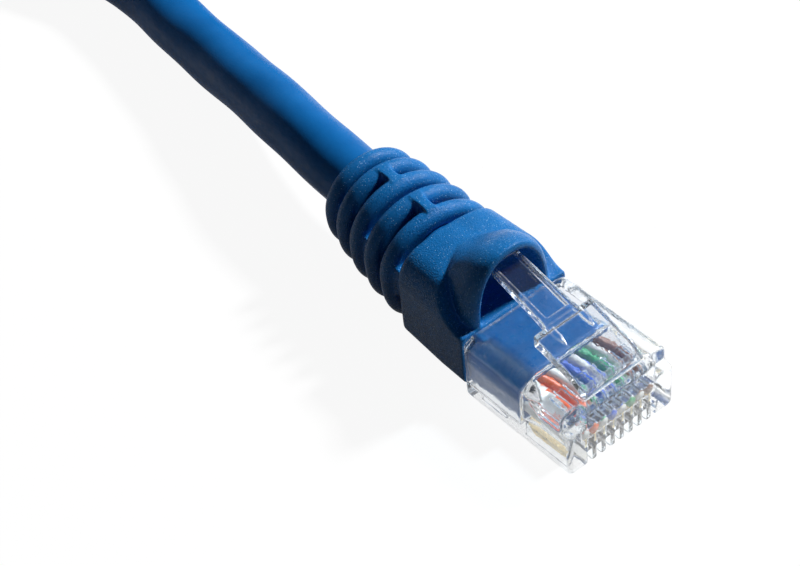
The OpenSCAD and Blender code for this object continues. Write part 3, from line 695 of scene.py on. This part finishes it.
def boot_field(u, y, z):
    foot = np.minimum(scoop(u)[0], BODY_TOP - 0.6) - 0.35
    hood = arch_field(u, y, z, OUTSIDE, HOOD_TOP, foot)
    hood = smax(hood, PLUG_L - u, 0.35)
    hood = np.maximum(np.maximum(hood, u - PLUG_L - HOOD_L), HOOD_LOW - z)
    d = smin(body_field(u, y, z), hood, 0.22)
    d = smin(d, relief_field(u - BODY_BACK, y, z), 0.25)
    cave = arch_field(u, y, z, INSIDE, HOOD_TOP - HOOD_WALL, PLUG_H)
    cave = smax(smax(cave, PLUG_H - z, 0.3), u - PLUG_L - CAVE_L, 0.8)
    d = smax(d, -cave, 0.35)
    pocket = np.maximum(np.abs(y) - MOULD_REAR_W / 2, u - MOULD_REAR)
    pocket = np.maximum(pocket, span(z, POCKET_LOW, pocket_top(u)))
    d = smax(d, -pocket, 0.1)
    bore = np.maximum(np.sqrt(y * y + (z - CORD_Z) ** 2) - BORE_R, BORE_FRONT - u)
    return smax(d, -bore, 0.15)


boot_points, boot_quads = skin(boot_field, (12.4, -6.3, 0.7), (33.8, 6.3, 13.2), BOOT_STEP)


def bend(points, yaw):
    """Turns what lies behind the boot's body aside."""
    s = points[:, 0] - BODY_BACK
    angle = yaw * ease(s / BEND_L)
    out = points.copy()
    out[:, 0] = np.where(s > 0, BODY_BACK + s * np.cos(angle) - points[:, 1] * np.sin(angle), points[:, 0])
    out[:, 1] = np.where(s > 0, points[:, 1] * np.cos(angle) + s * np.sin(angle), points[:, 1])
    return out


# ------------------------------------------------------------------ the clear housing
PITCH, PINS = 1.016, 8
PIN_Y = [(i - (PINS - 1) / 2) * PITCH for i in range(PINS)]
WIRE_Z, WIRE_D, WIRE_ROOM = 2.95, 0.94, 0.08
HINGE_BACK, HINGE_Z, ROLL_R, LATCH_W = 1.3, PLUG_H + 0.45, 0.55, 6.3
SADDLE_ROOM, SADDLE_SIDE_ROOM = 0.1, 0.15
TOP_CHAMFER_IN, TOP_CHAMFER_DOWN, FOOT_CHAMFER, NOSE_CHAMFER = 0.8, 0.5, 0.25, 0.35
LEDGE_L, LEDGE_IN, LEDGE_Z = 0.91, 3.86, 4.51       # the nose's cut-back corners
CAVITY_FRONT, CAVITY_SIDE, CAVITY_LOW, CAVITY_TOP = 6.0, 5.12, 1.0, 5.5
CAVITY_CORNER = 1.3     # how far the thick corners along the rear cavity's top reach in
CHANNEL_FRONT, FUNNEL_FRONT, FUNNEL_BACK, CHANNEL_BACK, FUNNEL_LOW, FUNNEL_TOP = 1.2, 4.1, 5.81, 7, 1.8, 4.9
COMB_W, COMB_BACK, COMB_TOP = 0.6, 5.9, 1.6
BLADE_W, BLADE_FRONT, BLADE_BACK, BLADE_LOW, BLADE_TOP = 0.38, 1.2, 5.65, 1.5, 3.75
CLAMP_W, CLAMP_OUTLINE = 7.4, [(8.4, -1), (8.4, 0.2), (10.9, 0.7), (11.3, 0.7), (11.3, -1)]
HOUSING_STEP = 0.12


def shell_field(u, y, z):
    """The housing's outside, with its chamfers and the ledge round its nose."""
    a = np.abs(y)
    w = PLUG_W / 2
    d = smax(a - w, z - PLUG_H, 0.1)
    roof_edge = (a - w) * TOP_CHAMFER_DOWN + (z - PLUG_H + TOP_CHAMFER_DOWN) * TOP_CHAMFER_IN
    d = smax(d, roof_edge / math.hypot(TOP_CHAMFER_IN, TOP_CHAMFER_DOWN), 0.3)
    d = smax(d, -z, 0.3)
    d = smax(d, ((a - w) - (z - FOOT_CHAMFER)) / math.sqrt(2), 0.3)
    d = smax(smax(d, -u, 0.45), u - PLUG_L, 0.5)
    ledge = smax(smax(u - LEDGE_L, LEDGE_IN - a, 0.35), LEDGE_Z - z, 0.35)
    d = smax(d, -ledge, 0.3)
    return smax(d, (z - (PLUG_H - NOSE_CHAMFER) - u) / math.sqrt(2), 0.1)


def housing_field(u, y, z):
    a = np.abs(y)
    cavity = smax(smax(CAVITY_FRONT - u, a - CAVITY_SIDE, 0.1), span(z, CAVITY_LOW, CAVITY_TOP), 0.6)
    corner = a - CAVITY_SIDE + z - CAVITY_TOP + CAVITY_CORNER
    cavity = smax(cavity, corner / math.sqrt(2), 0.25)
    half = WIRE_D / 2 + WIRE_ROOM
    ramp = [(CHANNEL_FRONT, WIRE_Z - half), (FUNNEL_FRONT, WIRE_Z - half), (FUNNEL_BACK, FUNNEL_LOW),
            (CHANNEL_BACK, FUNNEL_LOW), (CHANNEL_BACK, FUNNEL_TOP), (FUNNEL_BACK, FUNNEL_TOP),
            (FUNNEL_FRONT, WIRE_Z + half), (CHANNEL_FRONT, WIRE_Z + half)]
    channel = np.maximum(a - (PINS * PITCH + WIRE_ROOM) / 2, polygon_field(u, z, ramp))
    holes = smin(cavity, channel, 0.1)
    pin = np.abs(y - PITCH * (np.clip(np.round(y / PITCH - 0.5), -PINS / 2, PINS / 2 - 1) + 0.5))
    comb = np.maximum(np.maximum(pin - COMB_W / 2, u - COMB_BACK), z - COMB_TOP)
    blades = np.maximum(pin - BLADE_W / 2, span(u, BLADE_FRONT, BLADE_BACK))
    blades = np.maximum(blades, span(z, BLADE_LOW, BLADE_TOP))
    clamp = np.maximum(a - CLAMP_W / 2, polygon_field(u, z, CLAMP_OUTLINE))
    holes = np.minimum(np.minimum(holes, comb), np.minimum(blades, clamp))
    saddle = np.sqrt((u - HINGE_BACK) ** 2 + (z - HINGE_Z) ** 2) - ROLL_R - SADDLE_ROOM
    saddle = np.maximum(saddle, a - LATCH_W / 2 - SADDLE_SIDE_ROOM)
    return smax(shell_field(u, y, z), -np.minimum(holes, saddle), 0.08)


housing_points, housing_quads = skin(housing_field, (-0.3, -6.1, -0.3), (13.0, 6.1, 6.8), HOUSING_STEP)
housing_edges = edge_values(housing_field, housing_points, 0.1, 3.0)

# ------------------------------------------------------------------ the latch
SHOULDER_BACK, SHOULDER_Z, SHOULDER_T = 6.8, 9.4, 1.15
TAIL_W, TAIL_END_W, TAIL_BACK, TAIL_T, TAIL_SLOPE = 3.5, 3.1, 14.0, 0.85, math.tan(math.radians(14.6))
TAIL_OVERLAP, TAIL_RAISED, TAIL_END_CUT = 0.6, 0.03, 0.4
PANEL_DOWN = 0.2                    # how deep the panel between the ribs lies
RIB_W, RIB_END, RIB_POINT, RIB_H, RIB_OVERLAP = 0.45, 4.7, 0.9, 0.5, 0.3
KNEE_BACK, KNEE_UNDER_BACK, KNEE_T, PLATE_SLOPE = 1.95, 2.6, 0.62, math.tan(math.radians(17.8))
KNEE_Z = SHOULDER_Z - (SHOULDER_BACK - KNEE_BACK) * PLATE_SLOPE
LATCH_STEP = 0.1


def tail_z(back):
    return SHOULDER_Z + TAIL_RAISED + (back - SHOULDER_BACK) * TAIL_SLOPE


PLATE_OUTLINE = [
    (HINGE_BACK - 0.35, HINGE_Z + 0.35), (KNEE_BACK, KNEE_Z), (SHOULDER_BACK, SHOULDER_Z),
    (SHOULDER_BACK, SHOULDER_Z - SHOULDER_T), (KNEE_UNDER_BACK, KNEE_Z - KNEE_T),
    (HINGE_BACK + 0.45, HINGE_Z - 0.2)]
TAIL_OUTLINE = [
    (SHOULDER_BACK - TAIL_OVERLAP, SHOULDER_Z - 0.35), (SHOULDER_BACK, tail_z(SHOULDER_BACK)),
    (TAIL_BACK, tail_z(TAIL_BACK)), (TAIL_BACK, tail_z(TAIL_BACK) - TAIL_T + 0.15),
    (SHOULDER_BACK, SHOULDER_Z - TAIL_T), (SHOULDER_BACK - TAIL_OVERLAP, SHOULDER_Z - SHOULDER_T + 0.3)]


def latch_field(u, y, z):
    """The wide plate from its rolled root to the shoulders, the tail, its sunk panel and the two ribs."""
    a = np.abs(y)
    roll = np.sqrt((u - HINGE_BACK) ** 2 + (z - HINGE_Z) ** 2) - ROLL_R
    plate = smax(np.minimum(polygon_field(u, z, PLATE_OUTLINE), roll),
                 smax(a - LATCH_W / 2, u - SHOULDER_BACK, 0.15), 0.14)
    along = np.clip((u - SHOULDER_BACK) / (TAIL_BACK - SHOULDER_BACK), 0, 1)
    half = TAIL_W / 2 - (TAIL_W - TAIL_END_W) / 2 * along
    end = smax(u - TAIL_BACK, (a - half + u - TAIL_BACK + TAIL_END_CUT) / math.sqrt(2), 0.3)
    tail = smax(polygon_field(u, z, TAIL_OUTLINE), smax(a - half, end, 0.2), 0.14)
    d = smin(plate, tail, 0.12)
    floor = SHOULDER_Z - PANEL_DOWN + (u - SHOULDER_BACK) * TAIL_SLOPE
    panel = np.maximum(a - TAIL_END_W / 2 + RIB_W, SHOULDER_BACK + TAIL_OVERLAP - u)
    panel = np.maximum(panel, (floor - z) * math.cos(math.atan(TAIL_SLOPE)))
    d = smax(d, -panel, 0.12)
    point = np.clip((u - RIB_END) / RIB_POINT, 0, 1)
    rib = np.maximum(RIB_END - u, u - SHOULDER_BACK - RIB_OVERLAP)
    rib = np.maximum(np.abs(a - TAIL_W / 2 + RIB_W / 2) - RIB_W / 2 * point, rib)
    rib = np.maximum(rib, np.maximum(z - tail_z(u) + 0.02, tail_z(u) - RIB_H - z))
    return smin(d, smax(rib, z - tail_z(u), 0.1), 0.1)


latch_points, latch_quads = skin(latch_field, (0.5, -3.4, 6.0), (14.3, 3.4, 11.6), LATCH_STEP)
latch_edges = edge_values(latch_field, latch_points, 0.08, 6.0)

# ------------------------------------------------------------------ the block in the rear cavity
BLOCK_W, BLOCK_LOW, BLOCK_TOP, BLOCK_FRONT, BLOCK_ROUND = 9.6, 1.3, 5.42, 6.15, 2.0
TONGUE_W, TONGUE_LOW, TONGUE_BACK = 8.6, 1.9, 18.3      # the narrower part that the boot is moulded over
TONGUE_OVERLAP, BLOCK_ROOM, TONGUE_ROOM = 1, 0.02, 0.05
BLOCK_STEP = 0.15


def block_field(u, y, z):
    a = np.abs(y)
    aside, over = a - BLOCK_W / 2 + BLOCK_ROUND, z - BLOCK_TOP + BLOCK_ROUND
    d = np.hypot(np.maximum(aside, 0), np.maximum(over, 0)) + np.minimum(np.maximum(aside, over), 0)
    d = smax(d - BLOCK_ROUND, BLOCK_LOW - z, 0.5)
    d = smax(d, span(u, BLOCK_FRONT, PLUG_L - BLOCK_ROOM), 0.3)
    tongue = np.maximum(a - TONGUE_W / 2, span(u, PLUG_L - TONGUE_OVERLAP, TONGUE_BACK))
    tongue = np.maximum(tongue, span(z, TONGUE_LOW, pocket_top(u) - TONGUE_ROOM))
    return smin(d, tongue, 0.1)


block_points, block_quads = skin(block_field, (5.8, -5.3, 0.8), (18.7, 5.3, 6.8), BLOCK_STEP)

# ------------------------------------------------------------------ wires
PAIR_COLOURS = {"orange": (0.80, 0.13, 0.02), "green": (0.02, 0.36, 0.13), "blue": (0.02, 0.10, 0.55),
                "brown": (0.22, 0.08, 0.03)}
# from one side of the plug to the other; True where the wire is white with a stripe
WIRE_ORDER = [("orange", True), ("orange", False), ("green", True), ("blue", False),
              ("blue", True), ("green", False), ("brown", True), ("brown", False)]
WIRE_FINISH = {name: wire_material(name, colour) for name, colour in PAIR_COLOURS.items()}
WIRE_WHITE = wire_material("white", (0.80, 0.79, 0.76))
WIRE_SIDES, STRIPE_SIDES = 20, range(2, 7)
WIRE_FRONT, WIRE_BEND, WIRE_END_ROOM, CORE_DEPTH = 1.28, 7.5, 0.2, 1.4
STRAIGHT_ROWS, BENT_ROWS = 8, 26
JACKET_FRONT = BODY_BACK - 2.6
ROW_STEP, LOW_ROW_Z = WIRE_D + 0.1, CORD_Z - 1.35


def wire_path(i, yaw):
    """Straight through its channel, up to its row in the mould, and together into the jacket."""
    row, place = i % 2, i // 2 - 1.5
    straight = np.linspace(WIRE_FRONT, WIRE_BEND, STRAIGHT_ROWS)
    bent = np.linspace(WIRE_BEND, JACKET_FRONT, BENT_ROWS)[1:]
    back = np.concatenate([straight, bent, [JACKET_FRONT + CORE_DEPTH]])
    rows_at = PLUG_L - WIRE_END_ROOM
    lift = ease((back - WIRE_BEND) / (rows_at - WIRE_BEND))
    gather = ease((back - rows_at) / (JACKET_FRONT - rows_at))
    end_y = place * ROW_STEP - (BODY_BACK - JACKET_FRONT) * math.tan(yaw)
    return np.stack([back, PIN_Y[i] + (end_y - PIN_Y[i]) * gather,
                     WIRE_Z + row * ROW_STEP * lift + (LOW_ROW_Z - WIRE_Z) * gather], axis=1)


# ------------------------------------------------------------------ the two plugs
JACKET_ROOM, JACKET_ROWS, JACKET_SIDES = 0.03, 20, 64
WIRE_SLIM = 0.01
CONTACT_ROUND, CONTACT_WELD_M = 0.04, 2e-6
FLAT_ANGLE, BEVEL_ANGLE = math.radians(1), math.radians(30)


def soften(obj, width):
    """Rounded edges on a CAD node."""
    weld = obj.modifiers.new("weld", "WELD")
    weld.merge_threshold = CONTACT_WELD_M
    flat = obj.modifiers.new("flat", "DECIMATE")
    flat.decimate_type, flat.angle_limit = "DISSOLVE", FLAT_ANGLE
    bevel = obj.modifiers.new("bevel", "BEVEL")
    bevel.width, bevel.segments, bevel.limit_method = width * MM, 2, "ANGLE"
    bevel.angle_limit = BEVEL_ANGLE
    bevel.harden_normals = True


def turn_out(obj):
    """Faces of a closed mesh turned out."""
    bm = bmesh.new()
    bm.from_mesh(obj.data)
    bmesh.ops.recalc_face_normals(bm, faces=bm.faces)
    bm.to_mesh(obj.data)
    bm.free()


class Plug:
    """One plug with its boot, turned to its place in the shared frame; yaw bends its strain relief."""

    def __init__(self, name, yaw, turn, origin):
        self.name, self.yaw = name, yaw
        self.turn, self.origin = turn, np.array(origin, float)

    def place(self, points):
        """From (distance behind the nose, y, z) to the shared frame."""
        x, y, z = -points[:, 0], points[:, 1], points[:, 2]
        c, s = math.cos(self.turn), math.sin(self.turn)
        return np.stack([x * c - y * s, x * s + y * c, z], axis=1) + self.origin

    def add(self, piece, points, faces, material, body, slot, node):
        """A piece from a skin, whose faces are an array of quads, or from a tube."""
        placed = self.place(points)
        from_skin = isinstance(faces, np.ndarray)
        if from_skin:
            faces = facing_out(placed, faces)
        obj = add_mesh(f"{self.name}_{piece}", placed, faces, material)
        if not from_skin:
            turn_out(obj)
        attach(obj, body)
        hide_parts(f"{self.name}_{node}")
        return obj

    def add_clear(self, piece, points, faces, edges, material, body, node):
        obj = self.add(piece, points, faces, material, body, "clear_plastic", node)
        values = obj.data.attributes.new("edge", "FLOAT", "POINT")
        values.data.foreach_set("value", edges.astype(np.float32))

    def build(self):
        self.add("boot_moulding", bend(boot_points, self.yaw), boot_quads, BOOT, "root", "boot", "boot")
        self.add_clear("housing_shell", housing_points, housing_quads, housing_edges, CLEAR,
                       "root", "housing")
        self.add_clear("latch_tongue", latch_points, latch_quads, latch_edges, CLEAR_LATCH,
                       f"{self.name}_latch", "latch")
        self.jacket()
        for i in range(PINS):
            self.wire(i)
            self.contact(i)
        self.add("moulded_block", block_points, block_quads, MOULD, "root", "inner_mould", "inner_mould")

    def jacket(self):
        s = np.linspace(JACKET_FRONT - BODY_BACK, RELIEF_L, JACKET_ROWS)
        c, n = math.cos(self.yaw), math.sin(self.yaw)
        path = np.stack([BODY_BACK + s * c, s * n, np.full_like(s, CORD_Z)], axis=1)
        tube = tube_mesh(path[::-1], CORD_R - JACKET_ROOM, JACKET_SIDES)
        self.add("jacket_inside_boot", *tube, JACKET, "root", "jacket", "jacket_end")

    def wire(self, i):
        name, striped = WIRE_ORDER[i]
        tube = tube_mesh(wire_path(i, self.yaw), WIRE_D / 2 - WIRE_SLIM, WIRE_SIDES)
        slot = f"wire_white_{name}" if striped else f"wire_{name}"
        obj = self.add(f"wire_core_{i + 1}", *tube, WIRE_FINISH[name], "root", slot, f"wire_{i + 1}")
        if striped:
            obj.data.materials.append(WIRE_WHITE)
            for p in obj.data.polygons:
                ring, side = divmod(p.index, WIRE_SIDES)
                p.material_index = 0 if (side + ring) % WIRE_SIDES in STRIPE_SIDES else 1

    def contact(self, i):
        obj = bpy.data.objects[f"{self.name}_contact_{i + 1}"]
        obj.data.materials.clear()
        obj.data.materials.append(GOLD)
        soften(obj, CONTACT_ROUND)


LEAD_FLAT_WAY = np.array([LEAD_WAY[0], LEAD_WAY[1], 0])
FAR_NOSE = np.array([FAR_RELIEF_END[0], FAR_RELIEF_END[1], 0]) + RELIEF_BACK * LEAD_FLAT_WAY
near = Plug("near", NEAR_YAW, 0.0, (NOSE_X, 0, 0))
far = Plug("far", 0.0, math.atan2(LEAD_WAY[1], LEAD_WAY[0]), FAR_NOSE)
near.build()
far.build()

# ------------------------------------------------------------------ the tie
TIE_W, TIE_T, TIE_FIT, TIE_CORNER_R = 8.0, 0.34, 0.3, 2.35
TIE_TURN = 0.25             # where the tie holds the coil, in turns from the coil's start
COIL_SIDES = 24             # straight pieces in a turn of the solid coil
TIE_STEP, CORNER_STEPS, EDGE_STEPS = 0.8, 12, 8


def arc(centre, radius, start, turn, steps):
    """Points on an arc, with its angles in degrees."""
    angles = [math.radians(start + turn * k / steps) for k in range(steps + 1)]
    return [(centre[0] + radius * math.cos(a), centre[1] + radius * math.sin(a)) for a in angles]


def tie_loop():
    """The strap's middle line round the coil's cords, as (distance from the coil's centre, height)."""
    bow = COIL_R * (1 - math.cos(math.pi / COIL_SIDES)) + TIE_W * TIE_W / 8 / coil_radius(TIE_TURN + 1)
    nearest = min(coil_radius(TIE_TURN + 1), coil_radius(TIE_TURN + 2))
    inner = nearest - CORD_R - TIE_FIT - bow - TIE_T / 2
    outer = coil_radius(TIE_TURN) + CORD_R + TIE_FIT + TIE_T / 2
    low, high = TIE_T / 2, CORD_D + LAYER_STEP + TIE_FIT + TIE_T / 2
    r = TIE_CORNER_R
    path = arc((outer - r, low + r), r, -90, 90, CORNER_STEPS)
    path += arc((outer - r, high - r), r, 0, 90, CORNER_STEPS)
    path += arc((inner + r, high - r), r, 90, 90, CORNER_STEPS)
    path += arc((inner + r, low + r), r, 180, 90, CORNER_STEPS)
    path = np.array(path)
    dense = []
    for p, q in zip(path, np.roll(path, -1, axis=0)):
        n = max(1, int(np.linalg.norm(q - p) / TIE_STEP))
        dense += [p + (q - p) * k / n for k in range(n)]
    return np.array(dense)


def tie():
    path = tie_loop()
    way = np.roll(path, -1, axis=0) - np.roll(path, 1, axis=0)
    way /= np.linalg.norm(way, axis=1)[:, None]
    out = np.stack([way[:, 1], -way[:, 0]], axis=1)
    edge = TIE_T / 2
    side = TIE_W / 2 - edge
    section = arc((side, 0), edge, -90, 180, EDGE_STEPS) + arc((-side, 0), edge, 90, 180, EDGE_STEPS)
    radial = np.array([COIL_WAY[0], COIL_WAY[1], 0])
    along = np.array([-COIL_WAY[1], COIL_WAY[0], 0])
    base = np.array([COIL_CENTRE[0], COIL_CENTRE[1], 0])
    points = []
    for p, o in zip(path, out):
        for across, thick in section:
            q = p + o * thick
            points.append(base + radial * q[0] + along * across + np.array([0, 0, q[1]]))
    points = np.array(points)
    faces = np.array(ring_faces(len(path), len(section), closed=True))
    obj = add_mesh("coil_strap", points, facing_out(points, faces), STRAP)
    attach(obj, "root")
    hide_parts("coil_tie")


tie()

# ------------------------------------------------------------------ stage and light
WHITE_SHARE = 0.93      # the level of the floor's shadows, for the camera
GLOSS_SHARE = 0.30      # and for reflections
FLOOR_LEVEL = 0.76      # how strongly the lamp lights the floor
FLOOR_ALBEDO = 0.07     # what the floor sends back to the object
FLOOR_HALF = 3000
FILL = 0.024            # soft light from all round
FILL_TINT = (0.9, 0.95, 1.0)
HORIZON, OVERHEAD = (1, 1, 1), (0.07, 0.18, 0.38)
HORIZON_UP_TO, OVERHEAD_FROM = 0.25, 0.65       # heights, from 0 at the horizon to 1 straight up
SKY_TINT = (0.50, 0.76, 1.0)    # of what glossy surfaces reflect
KEY_WAY, KEY_FAR_M, KEY_SIZE_M, KEY_POWER = (0.08, 0.77, 0.63), 1.0, 0.10, 13.0


def plain_nodes(owner):
    owner.use_nodes = True
    owner.node_tree.nodes.clear()
    return owner.node_tree


def ray_is(tree, *kinds):
    """One where the ray is of one of these kinds."""
    path = tree.nodes.new("ShaderNodeLightPath").outputs
    out = path[kinds[0]]
    for kind in kinds[1:]:
        out = joined(tree, "ShaderNodeMath", out, path[kind], operation="MAXIMUM")
    return out


def diffuse(tree, grey):
    n = tree.nodes.new("ShaderNodeBsdfDiffuse")
    n.inputs["Color"].default_value = (grey, grey, grey, 1)
    return n.outputs[0]


def emitter(tree, kind, strength):
    n = tree.nodes.new(kind)
    n.inputs["Strength"].default_value = strength
    return n


def floor():
    """White where lit, with light shadows for the camera and darker ones in reflections.

    To soft light it is dark.
    """
    f = FLOOR_HALF
    obj = add_mesh("floor", [(-f, -f, 0), (f, -f, 0), (f, f, 0), (-f, f, 0)], [(0, 1, 2, 3)])
    mat = bpy.data.materials.new("floor")
    tree = plain_nodes(mat)
    shown = diffuse(tree, FLOOR_ALBEDO)
    views = ((GLOSS_SHARE, ["Is Glossy Ray"]), (WHITE_SHARE, ["Is Camera Ray", "Is Transmission Ray"]))
    for share, rays in views:
        glow = emitter(tree, "ShaderNodeEmission", share)
        lit = diffuse(tree, (1 - share) / FLOOR_LEVEL)
        both = joined(tree, "ShaderNodeAddShader", glow.outputs[0], lit)
        shown = joined(tree, "ShaderNodeMixShader", ray_is(tree, *rays), shown, both)
    out = tree.nodes.new("ShaderNodeOutputMaterial")
    tree.links.new(shown, out.inputs["Surface"])
    obj.data.materials.append(mat)


def sky():
    """White round the horizon and pale blue overhead where it is seen or mirrored, and faint elsewhere."""
    world = bpy.data.worlds.new("world")
    scene.world = world
    tree = plain_nodes(world)
    fill = emitter(tree, "ShaderNodeBackground", FILL)
    fill.inputs["Color"].default_value = (*FILL_TINT, 1)
    bright = emitter(tree, "ShaderNodeBackground", 1.0)
    coords = tree.nodes.new("ShaderNodeTexCoord")
    split = tree.nodes.new("ShaderNodeSeparateXYZ")
    tree.links.new(coords.outputs["Generated"], split.inputs["Vector"])
    ramp = tree.nodes.new("ShaderNodeValToRGB")
    steps = ((HORIZON_UP_TO, HORIZON), (OVERHEAD_FROM, OVERHEAD))
    for element, (position, colour) in zip(ramp.color_ramp.elements, steps):
        element.position, element.color = position, (*colour, 1)
    tree.links.new(split.outputs["Z"], ramp.inputs["Fac"])
    tint = tree.nodes.new("ShaderNodeMix")
    tint.data_type, tint.blend_type = "RGBA", "MULTIPLY"
    tint.inputs[MIX_SECOND].default_value = (*SKY_TINT, 1)
    tree.links.new(ray_is(tree, "Is Glossy Ray"), tint.inputs[MIX_SHARE])
    tree.links.new(ramp.outputs["Color"], tint.inputs[MIX_FIRST])
    tree.links.new(tint.outputs[MIX_COLOUR], bright.inputs["Color"])
    seen = ray_is(tree, "Is Camera Ray", "Is Glossy Ray", "Is Transmission Ray")
    mix = joined(tree, "ShaderNodeMixShader", seen, fill.outputs[0], bright.outputs[0])
    out = tree.nodes.new("ShaderNodeOutputWorld")
    tree.links.new(mix, out.inputs["Surface"])


def key_lamp():
    """A square lamp that faces the shared frame's origin, which lies under the near boot."""
    data = bpy.data.lights.new("key", "AREA")
    data.size, data.energy = KEY_SIZE_M, KEY_POWER
    obj = bpy.data.objects.new("key", data)
    scene.collection.objects.link(obj)
    place = Vector(KEY_WAY).normalized() * KEY_FAR_M
    obj.matrix_world = Matrix.Translation(place) @ (-place).to_track_quat("-Z", "Y").to_matrix().to_4x4()


floor()
sky()
key_lamp()
